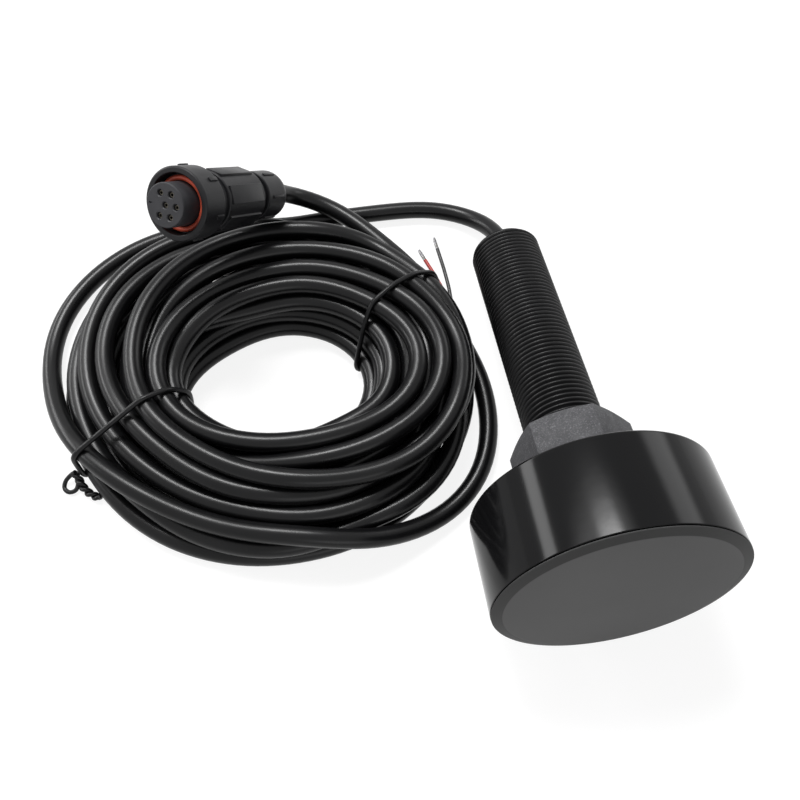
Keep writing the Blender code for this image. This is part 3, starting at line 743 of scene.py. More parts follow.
FLOOR_LAYER = CABLE_RADIUS
SECOND_LAYER = 9.3
TURNS: tuple[Turn, ...] = (
    Turn(((90, 75, 3.4), (105, 80, 3.4), (120, 87, 3.4), (135, 91, 3.4), (150, 92, 3.4),
          (165, 86.5, 5), (180, 77.5, 10), (195, 70.5, 11.5), (210, 63, 14), (225, 59.5, 15),
          (240, 57, 15), (255, 57, 15), (270, 58, 15), (285, 64, 12), (300, 72, 7), (315, 79, 3.6),
          (330, 81.5, 3.4), (345, 77.5, 3.4)), ((110, 360),)),
    Turn(((0, 73.5, 3.4), (15, 68.8, 3.4), (30, 65.8, 3.6), (45, 65, 5), (60, 65.7, 6.5),
          (90, 68, 9), (120, 74, 9), (135, 76, 9), (150, 76, 9), (165, 75, 9), (180, 72, 9),
          (195, 67.5, 9), (210, 62, 8), (240, 61.5, 9), (270, 62, 9.3), (300, 64, 10),
          (330, 66, 10)), ((0, 8), (150, 270))),
    buried(0, SECOND_LAYER, (57, 54.5, 53, 54, 58, 62, 60, 54, 51.5, 52, 54, 57)),
    buried(0, SECOND_LAYER, (50, 46.5, 44.5, 45.5, 49, 54, 53, 46.5, 44, 44.5, 47, 49.5)),
    Turn(((0, 50, 15), (30, 45, 15), (60, 40, 15), (90, 49, 15), (120, 55, 15), (150, 54, 15),
          (180, 52, 15), (210, 46, 14.5), (240, 43, 13), (270, 44.5, 13), (300, 48, 14),
          (330, 54, 15))),
    Turn(((0, 58, 15), (30, 58, 15), (60, 60, 14), (90, 67, 13), (120, 72.5, 15.5),
          (135, 72.8, 17), (150, 72, 17), (165, 68.3, 17), (180, 64.3, 16.5), (195, 59, 13.5),
          (210, 54.3, 12.5), (240, 50.5, 12.5), (270, 52, 13), (285, 55, 13), (300, 58, 13),
          (315, 61, 13), (330, 62, 13)), ((120, 315),)),
    Turn(((0, 62, 13.5), (30, 61.5, 13), (60, 64, 13), (90, 63.5, 12.5), (105, 63, 13.5),
          (120, 64.5, 16), (135, 64.5, 19), (150, 64.2, 20), (165, 61.1, 20), (180, 56.5, 19.5),
          (195, 50, 17), (210, 46, 16.5), (225, 44, 16.5), (240, 43.5, 16.5), (255, 44, 16.5),
          (270, 46.5, 17), (300, 53, 17), (330, 60, 14)), ((120, 270),)),
    Turn(((0, 65.5, 13.5), (15, 66, 13), (30, 66.4, 14), (45, 66.3, 15), (60, 64.5, 17),
          (75, 62.3, 18), (90, 61, 18.5), (105, 59, 20), (120, 57, 22), (135, 54, 24),
          (150, 51.6, 25), (165, 49, 25), (180, 46.6, 24.5), (195, 44.3, 24), (210, 41, 23),
          (225, 39.5, 22.5), (240, 39.5, 22.5), (255, 40.5, 22.5), (270, 42.5, 22.5),
          (285, 46, 22), (300, 51, 21), (315, 58, 19.5), (330, 64, 18), (345, 66.8, 17.5)),
         ((40, 360),)),
    Turn(((0, 68, 17.5), (15, 65.3, 18), (30, 60.8, 20), (45, 56.3, 21.5), (60, 52.3, 22.5),
          (75, 49.6, 22.5), (90, 48, 22), (105, 48, 21.5), (120, 48, 20.5), (135, 49, 18),
          (150, 47.5, 17), (180, 44, 17), (210, 38.5, 16.5), (225, 36.5, 16.5), (240, 36, 17),
          (255, 36, 20), (270, 36.5, 22), (285, 38, 22.5), (300, 42, 22.5), (315, 47, 22.5),
          (330, 54, 22), (345, 59.5, 21.5)), ((0, 135), (240, 360))),
    Turn(((0, 61.6, 21), (15, 57.4, 21.5), (30, 51.5, 22.5), (45, 46.4, 23), (60, 43.2, 23),
          (75, 41, 22.5), (90, 39, 22), (105, 38.5, 22), (120, 39, 22), (135, 39, 22),
          (150, 40, 22), (165, 40.5, 22), (180, 40.5, 21.5), (195, 38, 21.5), (210, 35, 21.5),
          (225, 31.5, 21.5), (240, 29.5, 21.5), (255, 29, 21.5), (270, 29.5, 21.5),
          (285, 30, 21.5), (300, 33.5, 21.5), (315, 38, 22), (330, 46, 22), (345, 51.5, 22)),
         ((0, 360),)),
    Turn(((0, 53, 22), (15, 47.8, 22), (30, 42.6, 22), (45, 38.9, 22), (60, 36.2, 22),
          (75, 34, 22), (90, 32, 21.5), (105, 32, 21), (120, 33, 20.5), (135, 35, 19),
          (150, 36.5, 17.5), (165, 38, 16), (180, 38.5, 15.5), (210, 34, 15), (240, 29.5, 15),
          (270, 29, 15), (300, 32, 15), (315, 35, 15.5), (330, 40, 16), (345, 44, 16)),
         ((0, 165),)),
    Turn(((0, 44.5, 16), (15, 42, 16.5), (30, 38, 17), (45, 34.8, 17.5), (60, 32, 17.5),
          (75, 30, 17), (90, 28, 17), (105, 28, 16.5), (120, 30, 15), (135, 33.5, 13),
          (150, 38, 11), (180, 43.5, 10.5), (210, 38, 10.5), (240, 32, 9.5), (270, 31.5, 9.3),
          (300, 33.5, 9.5), (330, 37, 10)), ((0, 125),)),
    Turn(((0, 40, 10), (30, 35, 11), (60, 30, 11), (75, 29, 11), (90, 28, 11), (105, 28.5, 11),
          (120, 29, 11), (135, 31, 11), (150, 34, 10.5), (180, 37, 9.3), (210, 33, 6),
          (240, 28.5, 3.6), (270, 28.5, 3.4), (300, 31, 3.4), (330, 34, 3.4)), ((0, 360),)),
    Turn(((0, 36, 4), (30, 32, 4.5), (60, 28, 5), (75, 27, 5), (90, 26, 5), (105, 26, 5),
          (120, 26, 5), (135, 28, 4.5), (150, 32, 4), (180, 37.5, 3.4), (210, 38, 3.4),
          (240, 35.5, 3.4), (270, 35.5, 3.4), (300, 38, 3.4), (330, 41, 3.4)), ((0, 200),)),
    buried(0, FLOOR_LAYER, (43, 39, 34.5, 33, 34, 40, 46, 45.5, 43.5, 43, 45.5, 48)),
    buried(0, FLOOR_LAYER, (50, 46, 41.5, 40, 41.5, 48, 54.5, 53, 50, 49.5, 52, 55)),
    buried(0, FLOOR_LAYER, (56.8, 52.4, 48.8, 48, 51, 59, 66, 62, 57.5, 56, 58.5, 61)),
    Turn(((0, 63.5, 3.4), (30, 59.6, 3.4), (60, 57.3, 3.4), (90, 60.3, 3.4), (120, 66.3, 3.4),
          (135, 70, 3.4), (150, 74, 3.4), (165, 76, 3.4), (180, 74.5, 3.4), (195, 71, 3.4),
          (210, 68.3, 3.4), (225, 66.5, 3.4), (240, 64.3, 3.4), (255, 62.8, 3.4), (270, 62.2, 3.4),
          (285, 63, 3.4), (300, 64.5, 3.4), (315, 65.3, 3.4), (330, 66.5, 3.6), (345, 67, 4.5)),
         ((165, 330),)),
    Turn(((0, 66.3, 6.5), (15, 65.5, 8.8), (27, 68, 9)), ((10, 30),)),
)


@dataclass
class SignalCable:
    """The 6 m cable: one cord from the stem, wound into the coil, to the connector.

    Sizes are in millimetres. The turns are laid as the photograph shows them, then settle on
    the floor and on each other as a real winding does.
    """

    radius: float = CABLE_RADIUS
    length: float = 6000.0
    step: float = 3.4
    hole_middle: Spot = (-93.5, 31.5)
    stem_lead: tuple[Point, ...] = (
        (0, 73.522, 12.615), (0, 78.41, 11.571), (-2.6, 89.5, 8.0), (-8.6, 97.4, 5.2),
        (-18, 103.2, 3.9), (-29, 106.3, 3.5), (-41, 107, 3.5), (-53, 107.2, 3.5),
        (-66, 107, 3.5), (-78, 106.2, 3.5), (-88, 105.2, 3.5))
    connector_lead: tuple[Point, ...] = (
        (-34.3, 68.5, 9), (-37.8, 73.9, 9.5), (-41.4, 79, 10), (-44.4, 82.9, 10.5),
        (-48.1, 87.6, 11), (-51.8, 92.7, 11), (-55.6, 97.3, 11), (-60.2, 102, 11),
        (-64.8, 105.9, 11.5), (-70, 109.4, 12.2), (-75.5, 111.4, 13.5), (-80.5, 111.2, 16.4),
        (-84.18, 108.69, 21.3), (-86.55, 105.83, 24.65))
    settle_steps: int = 300
    free_steps: int = 110
    hold_seen: float = 0.08
    hold_buried: float = 0.01
    sink: float = 0.008
    depth_free: float = 0.95
    stiffness: float = 0.2
    table_step: float = 3.0
    table_blur: float = 9.0
    push_reach: int = 6
    push_spread: float = 2.2
    push_share: float = 0.15
    pushes_each: int = 2
    watch: float = 5.5
    watch_every: int = 12
    own_points: int = 4
    fixed_start: int = 4
    fixed_end: int = 5
    connector_sizes: tuple[Spot, ...] = ((11.0, 12.8), (39.0, 10.4), (57.0, 9.5))
    connector_share: float = 0.3
    connector_points: int = 12
    wires_under: Spot = (-31.0, 56.5)
    wires_lift: float = 1.85
    wires_reach: float = 17.0
    points: np.ndarray = field(default_factory=lambda: np.zeros((0, 3)))

    def laid(self) -> tuple[np.ndarray, np.ndarray]:
        """The route as it is laid, before it settles.

        Returns:
            Evenly spaced points, and how strongly each keeps its place.
        """
        rows: list[Point] = []
        held: list[float] = []
        for count, turn in enumerate(TURNS):
            rows += [(360.0 * count + a, r, z) for a, r, z in turn.places]
        table = np.array(rows)
        at = np.arange(table[0, 0], table[-1, 0], self.table_step)
        polar = hermite(table[:, 0], table[:, 1:], at)
        taps = np.arange(-30.0, 31.0, self.table_step)
        blur = np.exp(-0.5 * (taps / self.table_blur) ** 2)
        for angle in at:
            turn = TURNS[int(angle // 360)]
            shown = any(low <= angle % 360 <= high for low, high in turn.seen)
            held.append(self.hold_seen if shown else self.hold_buried)
        polar = self.blurred(np.column_stack([polar, held]), blur / blur.sum())
        wound = np.stack([self.hole_middle[0] + polar[:, 0] * np.cos(np.radians(at)),
                          self.hole_middle[1] + polar[:, 0] * np.sin(np.radians(at)),
                          polar[:, 1], polar[:, 2]], axis=1)
        ends = [np.column_stack([np.array(run, float), np.full(len(run), self.hold_seen)])
                for run in (self.stem_lead, self.connector_lead)]
        whole = np.concatenate([ends[0], wound[1:], ends[1]])
        along = run_length(whole[:, :3])
        fine = hermite(along, whole, np.arange(0, along[-1], 1.0))
        along = run_length(fine[:, :3])
        at = np.linspace(0, along[-1], round(along[-1] / self.step) + 1)
        even = np.stack([np.interp(at, along, fine[:, i]) for i in range(4)], axis=1)
        return even[:, :3], np.clip(even[:, 3:], 0.0, 1.0)

    def blurred(self, rows: np.ndarray, kernel: np.ndarray) -> np.ndarray:
        """Averages each row with its neighbours, weighted by a kernel."""
        wide = np.pad(rows, ((len(kernel) // 2,) * 2, (0, 0)), mode="edge")
        return np.stack([np.convolve(c, kernel, mode="valid") for c in wide.T], axis=1)

    def keep_off(self) -> tuple[np.ndarray, np.ndarray]:
        """The connector over the coil, as a row of balls that the cable stays off.

        Returns:
            Their middles and how far the centreline stays from each.
        """
        ends, sizes = np.array(self.connector_sizes).T
        along = np.arange(0.0, ends[-1], 2.0)
        middles = np.array(CONNECTOR_FRONT) - along[:, None] * np.array(CONNECTOR_AXIS)
        return middles, sizes[np.searchsorted(ends, along, side="right")] + self.radius

    def neighbours(self, p: np.ndarray) -> tuple[np.ndarray, np.ndarray]:
        """Pairs of a point and a stretch of another part of the cable that are close."""
        q = p.astype(np.float32)
        square = (q * q).sum(1)
        apart = square[:, None] + square[None] - 2 * q @ q.T
        i, j = np.nonzero(apart < (2 * self.radius + self.watch) ** 2)
        apart = np.minimum(np.abs(i - j), np.abs(i - j - 1))
        near = (apart > self.own_points) & (j < len(p) - 1)
        return i[near], j[near]

    def rest(self, p: np.ndarray) -> np.ndarray:
        """The lowest height of the centreline: on the floor, or on the wires that run under."""
        off = ((p[:, :2] - self.wires_under) ** 2).sum(axis=1)
        return self.radius + self.wires_lift * np.exp(-off / self.wires_reach ** 2)

    def pushes(self, p: np.ndarray, i: np.ndarray, j: np.ndarray) -> np.ndarray:
        """How far each point moves so that no point and stretch lie in each other."""
        begin = p[j]
        stretch = p[j + 1] - begin
        share = ((p[i] - begin) * stretch).sum(1) / (stretch * stretch).sum(1)
        share = np.clip(share, 0.0, 1.0)
        gap = p[i] - (begin + share[:, None] * stretch)
        far = np.linalg.norm(gap, axis=1)
        hit = far < 2 * self.radius
        i, j, share = i[hit], j[hit], share[hit]
        deep = 2 * self.radius / np.maximum(far[hit], 1e-6) - 1
        push = self.push_share * deep[:, None] * gap[hit]
        moved = np.zeros_like(p)
        for axis in range(3):
            part = push[:, axis]
            moved[:, axis] += np.bincount(i, part, len(p))
            moved[:, axis] -= np.bincount(j, part * (1 - share), len(p))
            moved[:, axis] -= np.bincount(j + 1, part * share, len(p))
        return moved

    def settle(self) -> None:
        """Lets the turns settle: they keep their place in view, stay smooth and off each other.

        A push spreads along the cable, because a stiff cable takes it up over some length.
        """
        target, hold = self.laid()
        p = target.copy()
        free = np.ones((len(p), 1))
        free[:self.fixed_start] = free[-self.fixed_end:] = 0.0
        eye = np.array(Studio.eye) / MM
        ray = target - eye
        ray /= np.linalg.norm(ray, axis=1, keepdims=True)
        middles, distance = self.keep_off()
        spread = np.hanning(2 * self.push_reach + 3)[1:-1]
        spread *= self.push_spread / spread.sum()
        rows = np.arange(len(p))
        for step in range(self.settle_steps + self.free_steps):
            if step % self.watch_every == 0:
                i, j = self.neighbours(p)
            if step < self.settle_steps:
                off = target - p
                sight = (off * ray).sum(1, keepdims=True) * ray
                p += free * hold * (off - self.depth_free * sight)
                p[:, 2] -= self.sink * free[:, 0]
            bend = np.zeros_like(p)
            bend[1:-1] = 0.5 * (p[:-2] + p[2:]) - p[1:-1]
            twice = np.zeros_like(p)
            twice[1:-1] = 0.5 * (bend[:-2] + bend[2:]) - bend[1:-1]
            p -= free * self.stiffness * twice
            for _ in range(self.pushes_each):
                moved = self.pushes(p, i, j)
                away = p[:, None] - middles[None]
                far = np.linalg.norm(away, axis=2)
                worst = np.argmin(far - distance[None], axis=1)
                short = np.maximum(distance[worst] - far[rows, worst], 0)
                short[-self.connector_points:] = 0.0
                back = self.connector_share * short / far[rows, worst]
                moved += back[:, None] * away[rows, worst]
                p += free * self.blurred(moved, spread)
                p[:, 2] = np.where(free[:, 0] > 0, np.maximum(p[:, 2], self.rest(p)), p[:, 2])
        gap = p[i] - p[j]
        LOG.info("cable turns overlap by %.2f mm at most",
                 2 * self.radius - np.linalg.norm(gap, axis=1).min())
        self.points = p

    def build(self) -> Piece:
        """Makes the cable as one cord.

        Returns:
            The cable.
        """
        self.settle()
        LOG.info("cable is %.0f mm long on %d points", run_length(self.points)[-1],
                 len(self.points))
        return strand("signal_cable", self.points * MM, self.radius * MM, JACKET_PVC,
                      ("stem_lead", "cable_coil", "loose_turn", "connector_lead"), rounds=5)


@dataclass
class CoilTie:
    """A coated tie wire round the coil's section, pulled tight over the turns.

    Sizes are in millimetres. It lies in a plane through two points of the floor, which may lean.
    """

    name: str
    node: str
    inner: Spot
    outer: Spot
    lean: float = 0.0
    radius: float = 0.95
    end_radius: float = 0.8
    end_step: float = 0.8
    twist_step: float = 0.4
    twist_pitch: float = 6.0
    twist_close: float = 0.98
    past: float = 6.0
    bite: float = 0.05
    lift: float = 0.1
    ring_points: int = 28
    spacing: float = 1.2
    smoothing: int = 3
    tails: tuple[tuple[Point, ...], ...] = ()
    twisted: tuple[Point, ...] = ()

    def hull(self, flat: np.ndarray) -> np.ndarray:
        """The corners of the tightest band round points in a plane, in order."""
        order = flat[np.lexsort((flat[:, 1], flat[:, 0]))]
        rim: list[np.ndarray] = []
        for run in (order, order[::-1]):
            begin = len(rim)
            for point in run:
                while len(rim) - begin >= 2:
                    a, b = rim[-1] - rim[-2], point - rim[-1]
                    if a[0] * b[1] - a[1] * b[0] > 0:
                        break
                    rim.pop()
                rim.append(point)
            rim.pop()
        return np.array(rim)

    def loop(self, cable: SignalCable) -> np.ndarray:
        """The tie's line round the turns that cross its plane."""
        begin = np.array([*self.inner, 0.0])
        out = np.array([*self.outer, 0.0]) - begin
        reach = np.linalg.norm(out)
        out /= reach
        up = np.array([-out[1] * self.lean, out[0] * self.lean, 1.0])
        up /= np.linalg.norm(up)
        across = np.cross(out, up)
        side = (cable.points - begin) @ across
        crossing = np.nonzero(side[:-1] * side[1:] <= 0)[0]
        share = (side[crossing] / (side[crossing] - side[crossing + 1]))[:, None]
        spots = cable.points[crossing] * (1 - share) + cable.points[crossing + 1] * share
        flat = np.stack([(spots - begin) @ out, (spots - begin) @ up], axis=1)
        flat = flat[(flat[:, 0] > -self.past) & (flat[:, 0] < reach + self.past)]
        grip = cable.radius + self.radius - self.bite
        turns = np.linspace(0, math.tau, self.ring_points, endpoint=False)
        ring = np.stack([np.cos(turns), np.sin(turns)], axis=1) * grip
        rim = self.hull((flat[:, None] + ring[None]).reshape(-1, 2))
        rim[:, 1] = np.maximum(rim[:, 1], self.radius + self.lift)
        closed = np.concatenate([rim, rim[:1]])
        along = run_length(closed)
        at = np.linspace(0, along[-1], round(along[-1] / self.spacing), endpoint=False)
        even = np.stack([np.interp(at, along, closed[:, i]) for i in range(2)], axis=1)
        for _ in range(self.smoothing):
            even = (np.roll(even, 1, 0) + 2 * even + np.roll(even, -1, 0)) / 4
        return begin + even[:, :1] * out + even[:, 1:] * up

    def build(self, cable: SignalCable) -> None:
        """Makes the tie round the settled cable, with its bent and its twisted ends."""
        line = self.loop(cable)
        strand(self.name, line * MM, self.radius * MM, TIE_PVC, (self.node,), closed=True)
        runs = [smooth_run(tail, self.end_step) for tail in self.tails]
        if self.twisted:
            runs += self.twist(smooth_run(self.twisted, self.twist_step))
        for number, run in enumerate(runs, 1):
            strand(f"{self.name}_end_{number}", run * MM, self.end_radius * MM, TIE_PVC)

    def twist(self, middle: np.ndarray) -> list[np.ndarray]:
        """Winds two wire ends round each other along a line."""
        along = np.gradient(middle, axis=0)
        along /= np.linalg.norm(along, axis=1)[:, None]
        side = np.cross(along, (0.0, 0.0, 1.0))
        side /= np.linalg.norm(side, axis=1)[:, None]
        rise = np.cross(side, along)
        turns = run_length(middle)[:, None] * math.tau / self.twist_pitch
        reach = self.end_radius * self.twist_close
        return [middle + reach * (np.cos(turns + begin) * side + np.sin(turns + begin) * rise)
                for begin in (0.0, math.pi)]


@dataclass
class BaredWire:
    """One of the two supply wires that leave the coil along the floor, with its tinned end."""

    name: str
    node: str
    finish: Finish
    route: tuple[Spot, ...]
    height: float = 0.8
    radius: float = 0.75
    step: float = 1.0
    tip_length: float = 6.0
    tip_inside: float = 0.4
    tip_turns: float = 0.9
    tip_rows: int = 14
    strands: int = 6
    strand_sides: int = 6
    strand_radius: float = 0.27
    bundle_radius: float = 0.42
    narrow_from: float = 0.75
    narrowing: float = 0.45

    def build_tip(self, end: Vector, along: Vector) -> Piece:
        """Twists the tin-dipped strands of the bared end into one small bundle.

        Args:
            end: Where it starts, just inside the insulation, in millimetres.
            along: The way it points.

        Returns:
            The bared end.
        """
        built = bmesh.new()
        rows = self.tip_rows
        for i in range(self.strands):
            for row in range(rows + 1):
                turn = math.tau * (i / self.strands + self.tip_turns * row / rows)
                late = max(0.0, row / rows - self.narrow_from) / (1 - self.narrow_from)
                close = self.bundle_radius * (1 - self.narrowing * late)
                middle = Vector((close * math.cos(turn), close * math.sin(turn),
                                 self.tip_length * row / rows))
                made = bmesh.ops.create_circle(
                    built, segments=self.strand_sides, radius=self.strand_radius,
                    cap_ends=row in (0, rows), matrix=Matrix.Translation(middle))["verts"]
                if row:
                    edges = {e for v in made + last for e in v.link_edges
                             if e.other_vert(v) in (made if v in made else last)}
                    bmesh.ops.bridge_loops(built, edges=list(edges))
                last = made
        bmesh.ops.recalc_face_normals(built, faces=built.faces)
        turn = along.to_track_quat("Z", "Y").to_matrix().to_4x4()
        return placed(self.node + "_end", built, Matrix.Translation(end * MM) @ turn,
                      TINNED_COPPER, (self.node + "_tip",), crease=60)

    def build(self) -> None:
        """Makes the wire and its bared end."""
        run = smooth_run([(x, y, self.height) for x, y in self.route], self.step)
        wire = strand(self.name, run * MM, self.radius * MM, self.finish, (self.node,))
        along = Vector(run[-1] - run[-2]).normalized()
        tip = self.build_tip(Vector(run[-1]) - along * self.tip_inside, along)


# Transducer


@dataclass
class Head:
    """The moulded cup with the acoustic window that closes it. Millimetres from the face."""

    radius: float = 37.5
    length: float = 31.0
    wall: float = 3.0
    top: float = 4.0
    rear_edge: float = 1.0
    rim_edge: float = 0.25
    rim: float = 1.6
    bore: float = 13.52
    window_inset: float = 0.1
    chamfer_depth: float = 1.0
    chamfer_width: float = 3.1
    soft: float = 0.5
    nick: float = 0.15
    bore_edge: float = 0.3
    window_depth: float = 5.0
    gap: float = 0.3
    steps: int = 192

    def build_cup(self) -> None:
        """Turns the glossy cup."""
        inner = self.radius - self.wall
        floor = self.length - self.top
        outline = [(self.bore, self.length - self.bore_edge),
                   (self.bore + self.bore_edge, self.length)]
        outline += corner(self.radius, self.length, self.rear_edge, 8)
        outline += corner(self.radius, self.rim, self.rim_edge, 3, top=False)
        outline += [(inner, self.rim), (inner, floor), (self.bore, floor)]
        placed("head_cup", turned(outline, self.steps), STEM_PLACE, GLOSS_ABS, ("housing",))

    def build_window(self) -> None:
        """Turns the cast window, its chamfer eased into the flat face."""
        inner = self.radius - self.wall - self.gap
        edge = self.radius - self.window_inset
        rear = self.rim - self.gap
        outline = [(0.0, self.window_depth), (inner, self.window_depth), (inner, rear),
                   (edge - self.nick, rear), (edge, rear - self.nick)]
        # The chamfer's outer corner, a little broken, then its soft turn into the flat face.
        outline += [(edge, self.chamfer_depth + 0.1), (edge - 0.25, self.chamfer_depth - 0.08),
                    (WINDOW_FLAT_RADIUS + self.soft,
                     self.chamfer_depth * self.soft / self.chamfer_width),
                    (WINDOW_FLAT_RADIUS, 0.03), (WINDOW_FLAT_RADIUS - self.soft, 0.0), (0.0, 0.0)]
        placed("window_face", turned(outline, self.steps, closed=False), STEM_PLACE,
               WINDOW_URETHANE, ("acoustic_window",), crease=12)

    def build(self) -> None:
        """Builds the cup and the window."""
        self.build_cup()
        self.build_window()


@dataclass
class ThreadedStem:
    """The hollow stem with its rolled pipe thread. Millimetres from the face."""

    crest: float = 13.22
    depth: float = 1.1
    pitch: float = 1.814
    low: float = 26.7
    high: float = TRANSDUCER_LENGTH
    bore: float = 8.0
    chamfer: float = 1.2
    flange_radius: float = 18.0
    flange: float = 3.0
    sharpness: float = 1.3
    weld: float = 1e-3
    steps: int = 48
    rows: int = 8

    def thread(self) -> BMesh:
        """One turn of thread, spun along the helix and repeated up the stem."""
        built = bmesh.new()
        points = []
        for i in range(self.rows + 1):
            share = i / self.rows
            wave = 0.5 + 0.5 * math.cos(math.tau * share)
            points.append(built.verts.new(
                (self.crest - self.depth * wave ** self.sharpness, 0.0, self.pitch * (share - 1))))
        edges = [built.edges.new(pair) for pair in zip(points, points[1:])]
        bmesh.ops.spin(built, geom=points + edges, cent=(0, 0, 0), axis=(0, 0, 1),
                       dvec=(0, 0, self.pitch / self.steps), angle=math.tau, steps=self.steps,
                       use_merge=False, use_duplicate=False)
        turn = built.verts[:] + built.edges[:] + built.faces[:]
        count = math.ceil((self.high - self.low) / self.pitch) + 2
        for i in range(1, count):
            copy = bmesh.ops.duplicate(built, geom=turn)["geom"]
            bmesh.ops.translate(built, vec=(0, 0, self.pitch * i),
                                verts=only(copy, bmesh.types.BMVert))
        bmesh.ops.remove_doubles(built, verts=built.verts, dist=self.weld)
        bmesh.ops.translate(built, vec=(0, 0, self.low), verts=built.verts)
        for height, side in ((self.low, -1), (self.high, 1)):
            whole = built.verts[:] + built.edges[:] + built.faces[:]
            bmesh.ops.bisect_plane(built, geom=whole, dist=WELD, plane_co=(0, 0, height),
                                   plane_no=(0, 0, side), clear_outer=True)
        for point in built.verts:
            limit = self.crest - max(0.0, point.co.z - self.high + self.chamfer)
            reach = math.hypot(point.co.x, point.co.y)
            if reach > limit:
                point.co.x *= limit / reach
                point.co.y *= limit / reach
        return built

    def build(self) -> None:
        """Closes the thread with its bore, its end faces and its flange."""
        built = self.thread()
        rings = {}
        for height in (self.low, self.high):
            rings[height] = [e for e in built.edges if e.is_boundary
                             and all(abs(v.co.z - height) < 2 * self.weld for v in e.verts)]
        inside = bmesh.ops.create_circle(built, segments=self.steps, radius=self.bore,
                                         matrix=Matrix.Translation((0, 0, self.high)))["verts"]
        top = [e for e in built.edges if e.verts[0] in inside and e.verts[1] in inside]
        bmesh.ops.triangle_fill(built, edges=rings[self.high] + top, use_beauty=True,
                                normal=(0, 0, 1))
        base = self.low - self.flange
        lower = bmesh.ops.extrude_edge_only(built, edges=top)["geom"]
        down = only(lower, bmesh.types.BMVert)
        for point in down:
            point.co.z = base
        foot = [e for e in only(lower, bmesh.types.BMEdge) if all(v in down for v in e.verts)]
        for radius, height in ((self.flange_radius, base), (self.flange_radius, self.low)):
            grown = bmesh.ops.extrude_edge_only(built, edges=foot)["geom"]
            points = only(grown, bmesh.types.BMVert)
            for point in points:
                reach = math.hypot(point.co.x, point.co.y)
                point.co = (point.co.x * radius / reach, point.co.y * radius / reach, height)
            foot = [e for e in only(grown, bmesh.types.BMEdge)
                    if all(v in points for v in e.verts)]
        bmesh.ops.triangle_fill(built, edges=rings[self.low] + foot, use_beauty=True,
                                normal=(0, 0, 1))
        bmesh.ops.recalc_face_normals(built, faces=built.faces)
        placed("stem_thread", built, STEM_PLACE, STEM_NYLON, ("threaded_stem",), crease=50)


@dataclass
class HullNut:
    """The hexagon nut, chamfered at both ends, with its washer. Millimetres from the face."""

    across_flats: float = 34.6
    low: float = 41.0
    height: float = 14.0
    chamfer_radius: float = 16.7
    chamfer_angle: float = 21.0
    turn: float = -16.9
    bore: float = 13.52
    countersink: float = 0.8
    steps: int = 96
    ease: float = 0.35
    blank_radius: float = 20.0
    thin: float = 0.001
    sharp_angle: float = 18.0
    washer_gap: float = 0.3
    washer_thick: float = 2.5
    washer_radius: float = 17.0
    washer_ease: float = 0.45

    def flat_reach(self, angle: float) -> float:
        """Distance from the axis to the hexagon's side at an angle."""
        sixth = math.pi / 3
        return self.across_flats / 2 / math.cos((angle % sixth) - sixth / 2)

    def build_nut(self) -> None:
        """Spins the blank and presses it to the hexagon, flats and chamfers at once."""
        high = self.low + self.height
        slope = math.tan(math.radians(self.chamfer_angle))
        levels = [self.low + self.thin, self.low + 2 * self.thin, high - 2 * self.thin,
                  high - self.thin]
        sunk = self.bore + self.countersink
        outline = [(self.bore, self.low + self.countersink), (sunk, levels[0]),
                   (self.chamfer_radius, levels[0]), (self.blank_radius, levels[1]),
                   (self.blank_radius, levels[2]), (self.chamfer_radius, levels[3]),
                   (sunk, levels[3]), (self.bore, high - self.countersink)]
        built = turned(outline, self.steps, crisp=False)
        for point in built.verts:
            if math.hypot(point.co.x, point.co.y) < self.blank_radius - 1:
                continue
            angle = math.atan2(point.co.y, point.co.x) % math.tau
            reach = self.flat_reach(angle)
            drop = (reach - self.chamfer_radius) * slope
            point.co.z = self.low + drop if point.co.z < self.low + 1 else high - drop
            point.co.x, point.co.y = reach * math.cos(angle), reach * math.sin(angle)
        least = math.radians(self.sharp_angle)
        sharp = [e for e in built.edges if e.calc_face_angle(0.0) > least]
        bmesh.ops.bevel(built, geom=sharp, offset=self.ease, affect="EDGES", segments=2,
                        profile=0.5, material=-1, clamp_overlap=True)
        place = STEM_PLACE @ Matrix.Rotation(math.radians(self.turn), 4, "Z")
        placed("nut_body", built, place, HULL_NUT_NYLON, ("hull_nut",), Body.NUT, crease=28)

    def build_washer(self) -> None:
        """Turns the rubber washer under the nut."""
        high = self.low - self.washer_gap
        low = high - self.washer_thick
        outline = corner(self.washer_radius, high, self.washer_ease, 4)
        outline += corner(self.washer_radius, low, self.washer_ease, 4, top=False)
        outline += [(self.bore, low), (self.bore, high)]
        placed("washer_ring", turned(outline, self.steps), STEM_PLACE, BLACK_RUBBER,
               ("sealing_washer",), Body.WASHER)

    def build(self) -> None:
        """Builds the nut and the washer."""
        self.build_nut()
        self.build_washer()


# Connector


